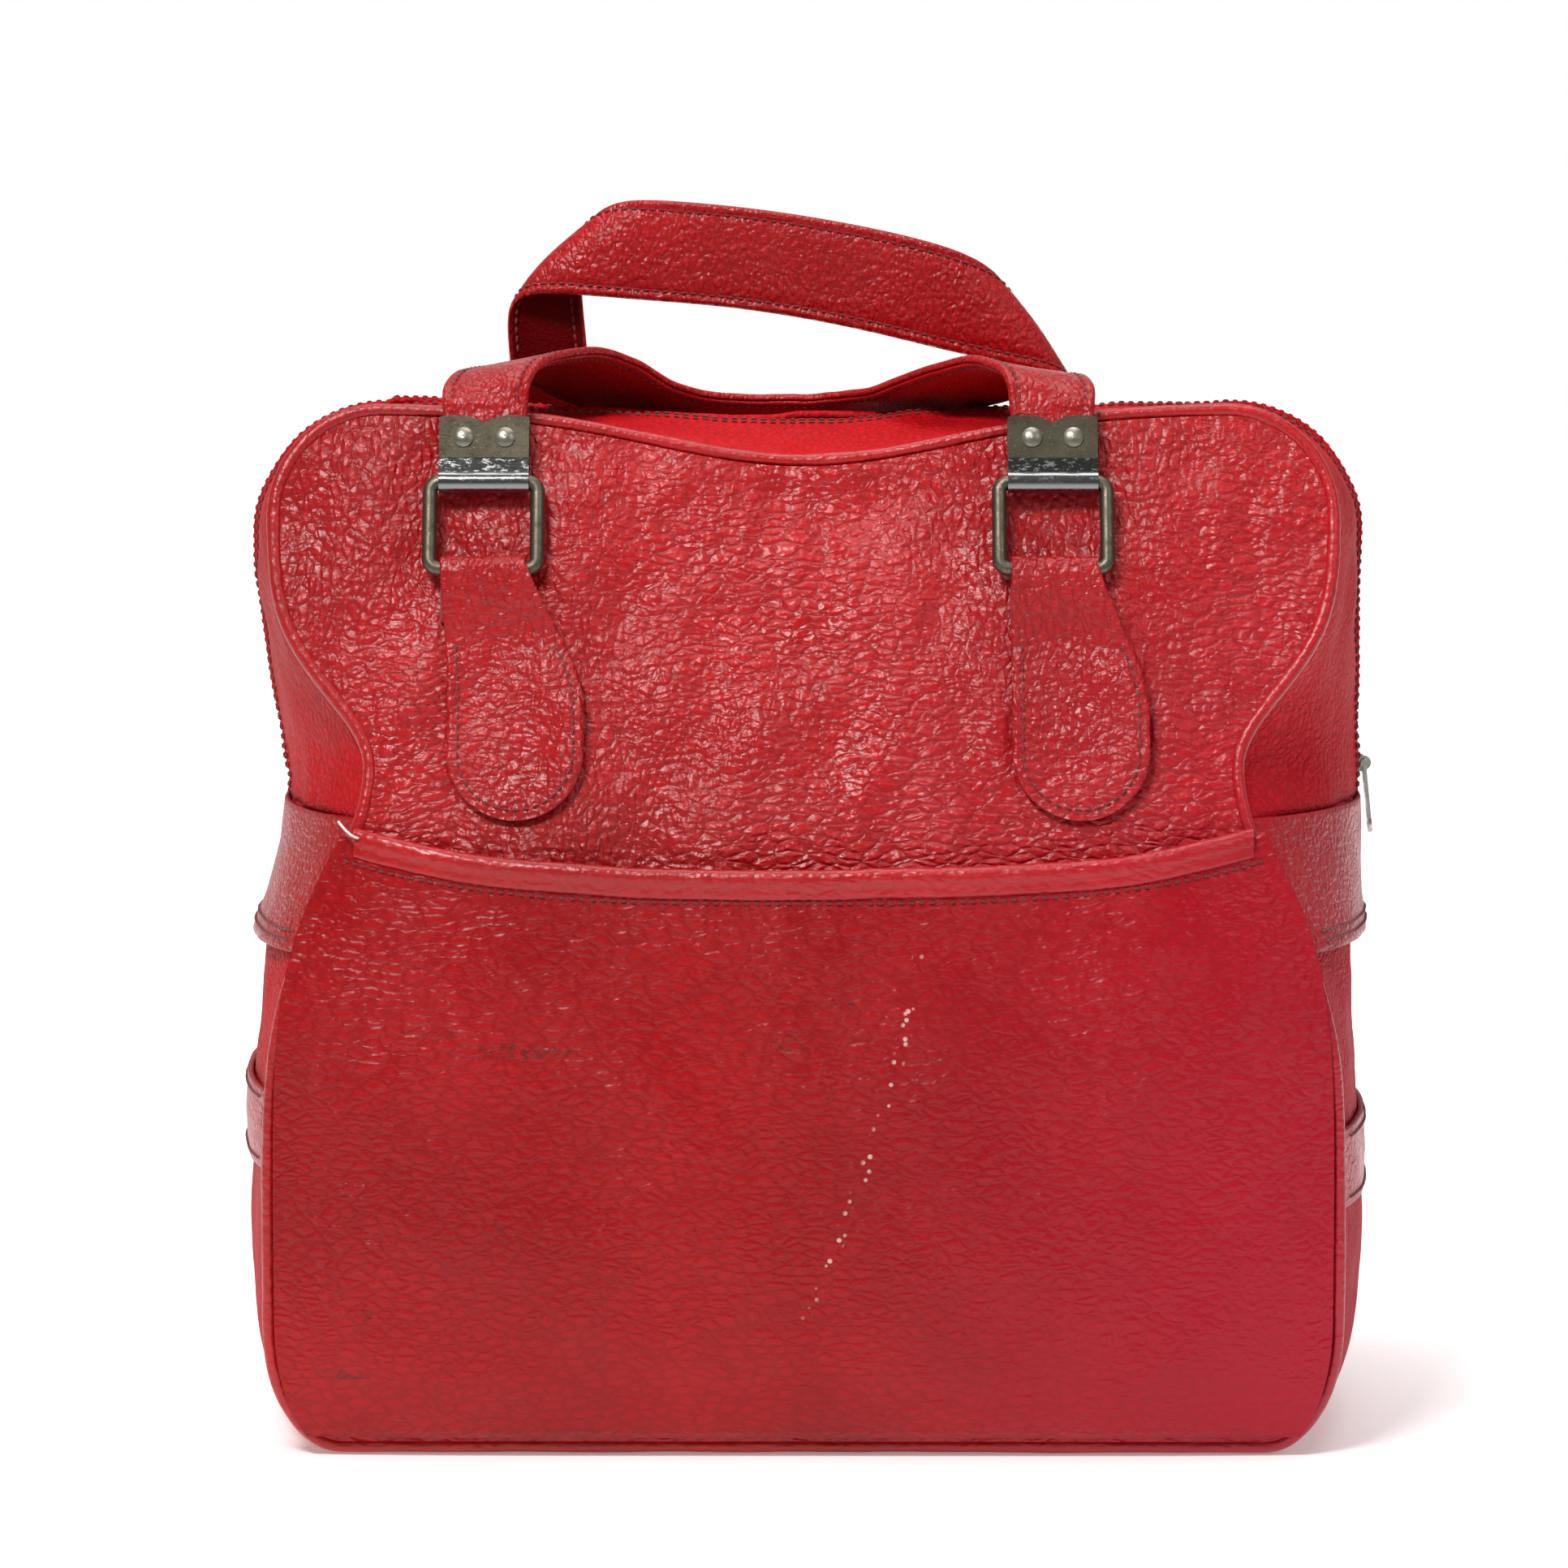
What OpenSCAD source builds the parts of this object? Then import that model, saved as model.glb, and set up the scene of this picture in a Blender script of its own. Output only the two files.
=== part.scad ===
// Bowling ball bag: a zipped grained-vinyl bag for one ball, with two short handles.
// Front is -Y, up is +Z. The origin is under the middle of the body, on the floor.
// Millimetres throughout.

/* [Body] */
// Half of the body's width at the welts
panel_half_w = 174; // [168:1:180]
// Half of the body's width at the middle of the gusset
centre_half_w = 189; // [184:1:192]
// Height of the body at its top corners
body_h = 341; // [335:1:345]
// Height of the fold line where the upper front half leans away
waist_z = 209; // [206:1:212]
// How far the welts are drawn in at the waist, each side
waist_pinch = 33; // [10:1:35]
// Sag of the top front edge at its middle
front_sag = 17; // [0:1:20]
// Sag of the top rear edge at its middle, under the resting front handle
rear_sag = 28; // [20:1:30]

/* [Sheet] */
// Thickness of the backed vinyl
sheet_t = 2.2; // [1.6:0.1:2.4]
// Radius of the welt piping
welt_r = 2.3; // [1.8:0.1:2.4]

/* [Hardware] */
// Radius of the ring wire
wire_r = 2.4; // [2:0.1:2.6]
// Clear width inside a ring
ring_in_w = 30.4; // [30:0.1:32]
// Distance between a ring's two bars, centre to centre
ring_h = 29.2; // [26:0.2:32]
// Radius of a rivet's cap
rivet_r = 3.3; // [2.5:0.1:3.6]
// Width of a handle strap at its ends
strap_end_w = 26; // [22:1:27]
// Width of a handle strap at its middle
strap_mid_w = 34; // [28:1:35]

/* [Hidden] */

red = "#c5202c";
deep_red = "#8f1a24";
nickel = "#8e8c82";

seam_gap = 0.25;          // between two sewn pieces
seam = welt_r + seam_gap; // from a welt's line to the edge of the sheet beside it
bottom_corner = [31, 57]; // width and height of the panels' bottom corners
top_corner = [35, 35];
centre_bottom = [40, 57]; // the same for the gusset's middle line
centre_top = [40, 40];
zip_edge = 5;             // from the zip's line to the vinyl's edge
lean_slope = 0.303;       // how fast the upper panels lean in
lean = atan(lean_slope);
front_sag_w = 70;         // how wide the sags are
rear_sag_w = 90;

// Distances from the middle plane, [height, distance], of the welts, panels and pocket
WELT = [[0, 103], [20, 107], [60, 109], [150, 109], [209, 102], [230, 95], [341, 63]];
PANEL = [[0, 104], [20, 109], [60, 113], [150, 113], [193, 109.5], [209, 106], [341, 66]];
POCKET = [[0, 106], [10, 113], [35, 120], [70, 123], [120, 123], [160, 121], [195, 118]];

function bump(d, s) = exp(-d * d / (s * s));
function corner(h, size) = h >= size[1] ? 0
    : size[0] * (1 - sqrt(max(0, 1 - pow(1 - h / size[1], 2))));
function panel_w(z) = panel_half_w - waist_pinch * bump(z - 225, z > 225 ? 34 : 58)
    - corner(z, bottom_corner) - corner(body_h - z, top_corner);
function centre_w(z) = centre_half_w - corner(z, centre_bottom)
    - corner(body_h - z, centre_top);

// How much of a top edge's sag reaches height z
function sag_share(z) = z <= waist_z ? 0 : pow((z - waist_z) / (body_h - waist_z), 2);
function sagged(x, y, z) = z - sag_share(z)
    * (y > 0 ? rear_sag * bump(x, rear_sag_w) : front_sag * bump(x, front_sag_w));

// Height of the welt at level z: its underside stays just off the floor
function welt_height(z) = z < waist_z ? 3 + z * (waist_z - 3) / waist_z : z;

// A point of the gusset: f across the width, z up, y in depth, off below its face
function gusset_point(f, z, y, off) = let(
    t = max(0, 1 - abs(y) / lookup(z, WELT)),
    flat = z < centre_bottom[1] ? min(1, t / 0.2) : t,
    xa = f * panel_w(z), xc = f * centre_w(z),
    welt_z = sagged(xa, y, welt_height(z)),
    mid_z = z - 3 * bump(xc, front_sag_w) * sag_share(z),
    c = z < centre_bottom[1] ? 1 - z / centre_bottom[1]
        : z > body_h - centre_top[1] ? (body_h - z) / centre_top[1] - 1 : 0,
    s = sqrt(1 - c * c)
) [
    xa + (xc - xa) * (1 - pow(1 - t, 2)) - sign(f) * s * off,
    y,
    welt_z + (mid_z - welt_z) * flat + c * off
];

// Heights up a side, with the corners' arcs followed closely
function low_levels() = concat(
    [for (a = [0:15:90]) bottom_corner[1] * (1 - cos(a))], [80, 110, 140, 165, 177, 189, 199]);
function high_levels() = concat([222, 236, 255, 277],
    [for (a = [90:-15:0]) body_h - centre_top[1] * (1 - cos(a))]);
function reversed(list) = [for (i = [len(list) - 1:-1:0]) list[i]];

// Stations [f, z] down one end, under the base and up the other end
function low_loop(top) = let(zs = concat(low_levels(), [top])) concat(
    [for (z = reversed(zs)) [-1, z]], [for (i = [-4:4]) [i / 5, 0]], [for (z = zs) [1, z]]);
// Stations [f, z] up one end, over the top and down the other end
function high_loop(foot) = let(zs = concat([foot], high_levels())) concat(
    [for (z = zs) [-1, z]], [for (i = [-4:4]) [i / 5, body_h]],
    [for (z = reversed(zs)) [1, z]]);

function flat_list(rows) = [for (r = rows) for (p = r) p];
function quad(a, b, c, d) = [[a, b, c], [a, c, d]];

// A closed sheet between two grids of points of the same size
module sheet(face, back) {
    rows = len(face);
    cols = len(face[0]);
    n = rows * cols;
    edge = concat(
        [for (j = [0:cols - 1]) j],
        [for (i = [1:rows - 1]) i * cols + cols - 1],
        [for (j = [cols - 2:-1:0]) (rows - 1) * cols + j],
        [for (i = [rows - 2:-1:1]) i * cols]);
    polyhedron(
        points = concat(flat_list(face), flat_list(back)),
        faces = [
            for (i = [0:rows - 2]) for (j = [0:cols - 2]) let(a = i * cols + j)
                each concat(quad(a, a + 1, a + cols + 1, a + cols),
                    quad(n + a, n + a + cols, n + a + cols + 1, n + a + 1)),
            for (k = [0:len(edge) - 1]) let(a = edge[k], b = edge[(k + 1) % len(edge)])
                each quad(b, a, n + a, n + b)
        ]);
}

// A closed body through rings of points, capped at both ends or joined into a loop
module skin(rings, looped = false) {
    m = len(rings[0]);
    count = len(rings);
    last = looped ? count - 1 : count - 2;
    polyhedron(
        points = flat_list(rings),
        faces = concat(
            [for (i = [0:last]) for (j = [0:m - 1])
                let(a = i * m, b = ((i + 1) % count) * m, k = (j + 1) % m)
                each quad(a + j, a + k, b + k, b + j)],
            looped ? [] : [
                [for (j = [m - 1:-1:0]) j],
                [for (j = [0:m - 1]) (count - 1) * m + j]]));
}

function unit(v) = v / norm(v);
function along(path, i, looped) = let(n = len(path)) unit(looped
    ? path[(i + 1) % n] - path[(i + n - 1) % n]
    : path[min(i + 1, n - 1)] - path[max(i - 1, 0)]);

// A round cord along a path whose direction is never along Y
module cord(path, r, sides, looped = false) {
    skin([for (i = [0:len(path) - 1])
        let(d = along(path, i, looped), u = unit(cross([0, 1, 0], d)), v = cross(d, u))
        [for (k = [0:sides - 1]) path[i] + r * (cos(360 * k / sides) * u
            + sin(360 * k / sides) * v)]], looped);
}

// --- Panels ---------------------------------------------------------------

COLUMNS = [-1, -0.93, -0.8, -0.6, -0.4, -0.2, 0, 0.2, 0.4, 0.6, 0.8, 0.93, 1];

// Distance of a crowned face from the middle plane: its edges drop to the welt
function crowned(u, z, profile) = let(edge = lookup(z, WELT) + 1)
    edge + (lookup(z, profile) - edge) * (1 - pow(abs(u), 6));

// side is -1 for the front and 1 for the back; off is measured into the bag
// The end of a panel's row at level z: a seam's width in from the welt, square to it
function row_end(z) = let(
    low = max(0, z - 0.4),
    high = min(body_h, z + 0.4),
    run = [panel_w(high) - panel_w(low), high - low]
) [panel_w(z), welt_height(z)] + seam * [-run[1], run[0]] / norm(run);

function panel_point(u, z, side, off) = let(end = row_end(z), x = u * end[0])
    [x, side * (crowned(u, end[1], PANEL) - off), sagged(x, side, z) + end[1] - z];

module panel(levels, side) {
    grid = function(off) [for (z = levels) [for (u = COLUMNS)
        panel_point(-side * u, z, side, off)]];
    sheet(grid(0), grid(sheet_t));
}

low_panel_levels = concat(low_levels(), [waist_z - seam_gap]);
high_panel_levels = concat([waist_z + seam_gap], high_levels());

module front_panel_lower() {
    color(red) panel(low_panel_levels, -1);
}

module front_panel_upper() {
    color(red) panel(high_panel_levels, -1);
}

module back_panel() {
    color(red) panel(concat(low_panel_levels, high_panel_levels), 1);
}

// --- Front pocket ---------------------------------------------------------

// Height of the pocket's mouth: it dips at the middle
function mouth_z(x) = 192 + 11 * pow(abs(x) / 140, 3);

function pocket_point(u, share, off) = let(
    z0 = 7 + share * 183,
    x = u * (panel_w(z0) - seam),
    z = 7 + share * (mouth_z(x) - 7),
    edge = lookup(z, WELT) + 4
) [x, -(edge + (lookup(z, POCKET) - edge) * (1 - pow(abs(u), 6)) - off), z];

module front_pocket() {
    shares = [0, 0.04, 0.1, 0.18, 0.28, 0.42, 0.56, 0.7, 0.84, 1];
    grid = function(off) [for (s = shares) [for (u = COLUMNS) pocket_point(u, s, off)]];
    color(red) sheet(grid(0), grid(sheet_t));
}

// A round-edged binding over the pocket's mouth
module pocket_binding() {
    r = 2.6;
    path = [for (u = [-0.96:0.12:0.97]) pocket_point(u, 1, sheet_t / 2)
        + [0, 0, r + 0.1]];
    color(red) cord(path, r, 8);
}

// --- Gussets --------------------------------------------------------------

module gusset(stations, shares) {
    function row(st, off) = let(w = lookup(st[1], WELT) - seam)
        [for (k = shares) gusset_point(st[0], st[1], k * w, off)];
    sheet([for (st = stations) row(st, 0)], [for (st = stations) row(st, sheet_t)]);
}

// Columns of the base gusset, which the bands over its ends share
DEPTHS = [-0.93, -0.83, -0.6, -0.3, 0, 0.3, 0.6, 0.83, 0.93];

module base_gusset() {
    color(red) gusset(low_loop(waist_z - seam_gap), concat([-1], DEPTHS, [1]));
}

// One half of the zip gusset, from its welt to the vinyl's edge by the zip
module zip_gusset(side) {
    function row(st, off) = let(w = lookup(st[1], WELT) - seam)
        [for (k = side < 0 ? [1, 0.85, 0.6, 0.3, 0] : [0, 0.3, 0.6, 0.85, 1])
            gusset_point(st[0], st[1], side * (zip_edge + k * (w - zip_edge)), off)];
    stations = reversed(high_loop(waist_z + seam_gap));
    color(red) sheet([for (st = stations) row(st, 0)],
        [for (st = stations) row(st, sheet_t)]);
}

// A strip along the zip between two distances from its line, and between two depths
module zip_strip(side, near, far, top, under, foot) {
    ys = side < 0 ? [-far, -near] : [near, far];
    stations = reversed(high_loop(foot));
    grid = function(off) [for (st = stations) [for (y = ys)
        gusset_point(st[0], st[1], y, off)]];
    sheet(grid(top), grid(under));
}

tape_top = sheet_t + 0.8; // depth of the tapes below the gusset's face
zip_foot = waist_z + 2.2; // height of the zip's lower ends
module zip_tape(side) {
    color(deep_red) zip_strip(side, 1.6, 13, tape_top, tape_top + 0.7, zip_foot);
}

module zip_coil(side) {
    color("#6b2a25") zip_strip(side, 0.9, 2.7, 0.6, tape_top - 0.1, zip_foot);
}

// --- Welts ----------------------------------------------------------------

function welt_path(stations, side) = [for (st = stations)
    gusset_point(st[0], st[1], side * lookup(st[1], WELT), 0)];

module welt_front_lower() {
    color(red) cord(welt_path(low_loop(waist_z - 0.7), -1), welt_r, 8);
}

module welt_front_upper() {
    color(red) cord(welt_path(reversed(high_loop(waist_z + 0.7)), -1), welt_r, 8);
}

module welt_rear() {
    low = low_loop(waist_z);
    high = reversed(high_loop(waist_z));
    both = concat(low, [for (i = [1:len(high) - 2]) high[i]]);
    color(red) cord(welt_path(both, 1), welt_r, 8, looped = true);
}

// --- End flaps and keeper straps ------------------------------------------

// A band that lies over an end of the base gusset, standing off it as lift says
module end_band(f, levels, lifts, thick) {
    function row(i, extra) = let(z = levels[i], w = lookup(z, WELT) - seam)
        [for (k = DEPTHS) gusset_point(f, z, k * w,
            -(0.5 + extra + lifts[i] * (1 - pow(k, 4))))];
    order = f > 0 ? [0:len(levels) - 1] : [len(levels) - 1:-1:0];
    sheet([for (i = order) row(i, thick)], [for (i = order) row(i, 0)]);
}

module end_flap(f) {
    color(red) end_band(f, [165, 171, 177, 189, 199, waist_z - seam_gap],
        [4.5, 2.6, 1.4, 0.5, 0.2, 0], 1.8);
}

keeper_w = 26;
module keeper_strap(f, foot) {
    levels = [for (k = [0, 0.08, 0.5, 0.92, 1]) foot + k * keeper_w];
    color(red) end_band(f, levels, [1.5, 2, 2, 2, 1], 2);
}

// --- Zip slider and pull --------------------------------------------------

slider_z = waist_z + 3; // lower end of the slider
pivot = [centre_half_w + 3.9, 0, slider_z + 7];
pin_r = 1.2;

module slider_plate() {
    linear_extrude(1.3, center = true) intersection() {
        square([13, 8.4], center = true);
        union() {
            circle(r = 6.2, $fn = 48);
            translate([-3.5, 0]) square([6, 8.4], center = true);
        }
    }
}

module zip_slider() {
    color(nickel) difference() {
        union() {
            translate([centre_half_w + 0.5, 0, slider_z + 6.5])
                rotate([0, 90, 0]) slider_plate();
            translate([centre_half_w - 4.9, 0, slider_z + 6.5])
                rotate([0, 90, 0]) slider_plate();
            // The post that parts the two coils
            translate([centre_half_w - 5.1, -0.55, slider_z + 8.5]) cube([5.5, 1.1, 3]);
            // The lug that holds the pull
            translate([centre_half_w + 0.6, -0.8, slider_z + 4]) cube([3, 1.6, 6]);
            translate(pivot) rotate([90, 0, 0])
                cylinder(r = 2.5, h = 1.6, center = true, $fn = 48);
        }
        translate(pivot) rotate([90, 0, 0])
            cylinder(r = pin_r + 0.1, h = 4, center = true, $fn = 48);
    }
}

pull_tilt = 6; // the pull leans out over the flap
pull_eye = -21; // the hole near its free end, below the pivot
module zip_pull() {
    color(nickel) translate(pivot) {
        rotate([90, 0, 0]) cylinder(r = pin_r, h = 5, center = true, $fn = 48);
        rotate([0, -pull_tilt, 0]) {
            for (s = [-1, 1]) translate([-0.6, s * 1.85 - 0.65, -6]) cube([1.2, 1.3, 6]);
            difference() {
                union() {
                    translate([-0.6, -2.5, pull_eye]) cube([1.2, 5, -5 - pull_eye]);
                    translate([0, 0, pull_eye]) rotate([0, 90, 0])
                        cylinder(r = 3.2, h = 1.2, center = true, $fn = 48);
                }
                translate([0, 0, pull_eye]) rotate([0, 90, 0])
                    cylinder(r = 1.1, h = 4, center = true, $fn = 48);
                translate([-2, -1.2, -7]) cube([4, 2.4, 4]);
            }
        }
    }
}

// Two small clamps that close the zip's lower ends
module zip_end_stops() {
    color(nickel) for (f = [-1, 1])
        translate([f * (centre_half_w - 1.4), 0, waist_z + 1.1])
            cube([1.6, 3.4, 1.6], center = true);
}

// --- Handle hardware ------------------------------------------------------

bar_z = 289.5;                     // height of a ring's lower bar
stand_off = 5.6;                   // from the panel to a ring's lower bar
bar_y = lookup(bar_z, PANEL) + stand_off;
FRONT_X = [-104.5, 81.5];          // the front rings hang a little to the left
REAR_X = [-90, 88];
PADDLE_SHIFT = [11, 8.5, 0, 0];    // from a ring's middle to its tab's round end

// Puts a part of the hardware at a ring: its lower bar is then along X at the origin
module at_ring(x, side) {
    rotate(side < 0 ? 0 : 180) translate([side < 0 ? x : -x, -bar_y, bar_z])
        rotate([-lean, 0, 0]) children();
}

function top_bar_y() = bar_y - ring_h * sin(lean);
function top_bar_z() = bar_z + ring_h * cos(lean);

module ring() {
    bend = 3.4; // radius of the wire's centre line at the corners
    half_w = ring_in_w / 2 + wire_r;
    for (z = [0, ring_h]) translate([0, 0, z]) rotate([0, 90, 0])
        cylinder(r = wire_r, h = 2 * (half_w - bend), center = true, $fn = 48);
    for (s = [-1, 1]) {
        translate([s * half_w, 0, bend])
            cylinder(r = wire_r, h = ring_h - 2 * bend, $fn = 48);
        for (top = [0, 1]) translate([s * (half_w - bend), 0, top ? ring_h - bend : bend])
            rotate([90, top ? 0 : 180, 0]) mirror([s * (top ? 1 : -1) < 0 ? 1 : 0, 0, 0])
            rotate_extrude(angle = 90, $fn = 48) translate([bend, 0])
                circle(r = wire_r, $fn = 48);
    }
}

paddle_r = 22.2;
paddle_z = -61; // middle of the round end, below the ring's bar
neck_w = 27;
neck_z = -24;   // where the two plies meet the panel

// Half of a tab's width grows from its neck to its round end, v below the ring's bar
function flare(v) = let(t = min(1, max(0, (v + 4) / 50))) pow(t * t * (3 - 2 * t), 0.8);
function tab_edge(v, shift, hand) = let(neck = hand * neck_w / 2)
    neck + (shift + hand * paddle_r - neck) * flare(v);

// The sewn outline of a tab, its round end moved sideways by shift
module paddle(shift) {
    drops = [-neck_z - 1:4:-paddle_z - 1];
    polygon(concat(
        [for (v = drops) [tab_edge(v, shift, 1), -v]],
        [for (a = [0:-6:-180]) [shift + paddle_r * cos(a), paddle_z + paddle_r * sin(a)]],
        [for (i = [len([for (v = drops) v]) - 1:-1:0]) let(v = -neck_z - 1 + 4 * i)
            [tab_edge(v, shift, -1), -v]]));
}

module tab(shift) {
    ply = 1.6;
    loop_r = wire_r + 0.1 + ply;
    rest_y = stand_off - 0.4; // the sewn ply's back face, just off the panel
    difference() {
        union() {
            rotate([0, 90, 0]) cylinder(r = loop_r, h = neck_w, center = true, $fn = 64);
            // front ply, then rear ply, from the loop down to the panel
            rotate([90, 0, 90]) linear_extrude(neck_w, center = true) {
                polygon([[-loop_r + 0.05, 0.5], [-loop_r + 0.05 + ply, 0.5],
                    [rest_y - 0.2, neck_z], [rest_y - ply - 0.3, neck_z]]);
                polygon([[loop_r - ply - 0.05, 0.5], [loop_r - 0.05, 0.5],
                    [rest_y - 0.05, neck_z + 2], [rest_y - 0.25, neck_z],
                    [rest_y - ply, neck_z]]);
            }
            translate([0, rest_y, 0]) rotate([90, 0, 0])
                linear_extrude(1.8) paddle(shift);
        }
        rotate([0, 90, 0]) cylinder(r = wire_r + 0.1, h = 60, center = true, $fn = 64);
    }
}

clasp_w = 29.4;
clasp_h = 22;     // from the ring's top bar to the clasp's corners
barrel_r = wire_r + 1.2;
plate_t = 0.8;
strap_t = 3.6;    // cover and backing together
rivet_z = 14.5;
rivet_x = 6.8;

// Front plate's outline: a shallow notch with curved shoulders at its top
module clasp_outline() {
    difference() {
        translate([-clasp_w / 2, 0]) square([clasp_w, clasp_h]);
        for (s = [-1, 1]) translate([s * 9.5, clasp_h + 14.2])
            difference() {
                translate([-9.6, -20]) square([19.2, 22]);
                translate([0, -32.5]) circle(r = 18.4, $fn = 96);
            }
    }
}

// The clasp folds round the ring's top bar and grips the strap between two plates
module clasp() {
    gap = strap_t + 0.1;
    difference() {
        union() {
            rotate([0, 90, 0]) cylinder(r = barrel_r, h = clasp_w, center = true, $fn = 64);
            for (s = [-1, 1]) translate([0, s * (gap + plate_t) / 2 + plate_t / 2, 0])
                rotate([90, 0, 0]) linear_extrude(plate_t) clasp_outline();
        }
        rotate([0, 90, 0]) cylinder(r = wire_r + 0.1, h = 60, center = true, $fn = 64);
        translate([-30, -gap / 2, wire_r + 1.6]) cube([60, gap, clasp_h]);
        for (s = [-1, 1]) translate([s * rivet_x, 0, rivet_z]) rotate([90, 0, 0])
            cylinder(r = 1.45, h = 30, center = true, $fn = 48);
    }
}

// A domed cap, a shank through plates and strap, and a flat burr behind
module rivet() {
    face_y = strap_t / 2 + 0.05 + plate_t;
    rotate([90, 0, 0]) {
        translate([0, 0, -face_y - 1]) cylinder(r = 1.4, h = 2 * face_y + 1.6, $fn = 48);
        translate([0, 0, face_y + 0.02]) intersection() {
            cylinder(r = rivet_r, h = 1.5, $fn = 48);
            translate([0, 0, -4]) sphere(r = 5.5, $fn = 48);
        }
        translate([0, 0, -face_y - 1]) cylinder(r = rivet_r - 0.6, h = 0.98, $fn = 48);
    }
}

module at_clasp(x, side) {
    at_ring(x, side) translate([0, 0, ring_h]) children();
}

module rivets(xs, side) {
    color("#b9b2a0") for (x = xs) for (s = [-1, 1])
        at_clasp(x, side) translate([s * rivet_x, 0, rivet_z]) rivet();
}

// --- Handles --------------------------------------------------------------

// Stations of a handle's middle line, each with the direction across its width.
// The ends lie in the clasps, so they follow the clasps' lean.
function clasp_point(x, side, up) =
    [x, side * (top_bar_y() - up * sin(lean)), top_bar_z() + up * cos(lean)];

CLASPED = [4.2, 14, 23, 27.5]; // up the clasp's line, where the strap is straight

FRONT_ROUTE = [
    for (up = CLASPED) [clasp_point(FRONT_X[0], -1, up), [-1, 0, 0]],
    [[-103.8, -66.3, 349.2], [-0.97, 0.22, -0.06]],
    [[-100.5, -55.5, 353.6], [-0.93, 0.34, -0.13]],
    [[-93, -38, 355.8], [-0.89, 0.43, -0.2]],
    [[-82, -18, 355], [-0.84, 0.46, -0.3]],
    [[-70, -1, 350], [-0.76, 0.54, -0.36]],
    [[-56, 13, 343], [-0.62, 0.7, -0.35]],
    [[-41, 23, 338], [-0.4, 0.82, -0.42]],
    [[-25, 29, 336], [-0.17, 0.86, -0.47]],
    [[-9, 31.5, 335.5], [0, 0.87, -0.48]],
    [[5, 30, 336], [0.15, 0.86, -0.47]],
    [[19, 24, 337.5], [0.35, 0.84, -0.41]],
    [[33, 12, 340.5], [0.6, 0.72, -0.32]],
    [[46, -4, 346], [0.77, 0.56, -0.27]],
    [[58, -22, 350], [0.82, 0.48, -0.3]],
    [[70, -40, 353], [0.87, 0.4, -0.25]],
    [[78, -56, 352.8], [0.94, 0.3, -0.13]],
    [[81, -66.3, 349], [0.98, 0.18, -0.06]],
    for (up = reversed(CLASPED)) [clasp_point(FRONT_X[1], -1, up), [1, 0, 0]]
];

// The rear handle's middle line, [x, z], before its two ends are folded down
REAR_LINE = [
    [-163.5, 395], [-120, 395], [-78, 395], [-45, 393.8], [-11, 390.3],
    [28, 383.3], [70.5, 372.4], [100.5, 363.8], [131.8, 354.8]
];
// The two folds: a point on each fold's line, and the line's angle to the floor
REAR_FOLDS = [[[-75.6, 395], 45], [[71.7, 372], -53]];
fold_r = 6.5;

// A smooth curve through a list of vectors: t counts the stations
function smooth(list, t) = let(
    n = len(list), i = min(floor(t), n - 2), k = t - i,
    a = list[max(i - 1, 0)], b = list[i], c = list[i + 1], d = list[min(i + 2, n - 1)]
) 0.5 * (2 * b + (c - a) * k + (2 * a - 5 * b + 4 * c - d) * k * k
    + (3 * b - a - 3 * c + d) * k * k * k);
function heading(list, t) = unit(smooth(list, min(t + 0.05, len(list) - 1))
    - smooth(list, max(t - 0.05, 0)));

// Width of the strap at station t of n: it widens from the clasps to the grip
function strap_w(t, n) = let(k = min(t, n - t) / n * 2)
    strap_end_w + (strap_mid_w - strap_end_w) * min(1, max(0, (k - 0.2) / 0.45));

// A point of the front strap: k across it from -1 to 1, off out from its middle face
function front_strap_point(t, k, off) = let(
    mids = [for (r = FRONT_ROUTE) r[0]],
    d = heading(mids, t),
    w0 = smooth([for (r = FRONT_ROUTE) r[1]], t),
    w = unit(w0 - (w0 * d) * d)
) smooth(mids, t) + k * strap_w(t, len(mids) - 1) / 2 * w + off * cross(d, w);

// Carries a point that lies past a fold's line round the roll, to behind the strap
function folded(p, fold) = let(
    a = [cos(fold[1]), 0, sin(fold[1])],
    b = [-a[2], 0, a[0]],
    c = [fold[0][0], 0, fold[0][1]],
    past = (p - c) * b,
    turn = past / fold_r * 180 / PI,
    r = fold_r - p[1],
    line = c + ((p - c) * a) * a
) past <= 0 ? p
    : turn < 180 ? line + r * sin(turn) * b + [0, fold_r - r * cos(turn), 0]
    : line - (past - PI * fold_r) * b + [0, fold_r + r, 0];

bend_z = 371;    // the rear legs stand upright above here
bend_len = 27.2; // and lean with the clasps this far below
function leaned(p) = let(drop = max(0, bend_z - p[2])) p + [0,
    drop < bend_len ? lean_slope * drop * drop / bend_len / 2
        : lean_slope * (drop - bend_len / 2), 0];
leg_y = top_bar_y() - lean_slope * (bend_z - top_bar_z() - bend_len / 2);

function rear_strap_point(t, k, off) = let(
    p = smooth(REAR_LINE, t),
    d = heading(REAR_LINE, t),
    v = p + k * strap_w(t, len(REAR_LINE) - 1) / 2 * [-d[1], d[0]],
    flat = [v[0], -off, v[1]]
) leaned(folded(folded(flat, REAR_FOLDS[0]), REAR_FOLDS[1])
    + [0, leg_y - 2 * fold_r, 0]);

// One ply of a strap between two depths from its middle face, its edges rounded off
module ply(point, n, steps, across, outer, inner) {
    ts = [for (i = [0:n * steps]) i / steps];
    sheet([for (t = ts) [for (k = across) point(t, k, outer - (abs(k) == 1 ? 0.7 : 0))]],
        [for (t = ts) [for (k = across) point(t, k, inner)]]);
}

module rivet_holes(xs, side) {
    for (x = xs) for (s = [-1, 1]) at_clasp(x, side) translate([s * rivet_x, 0, rivet_z])
        rotate([90, 0, 0]) cylinder(r = 1.45, h = 12, center = true, $fn = 48);
}

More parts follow.
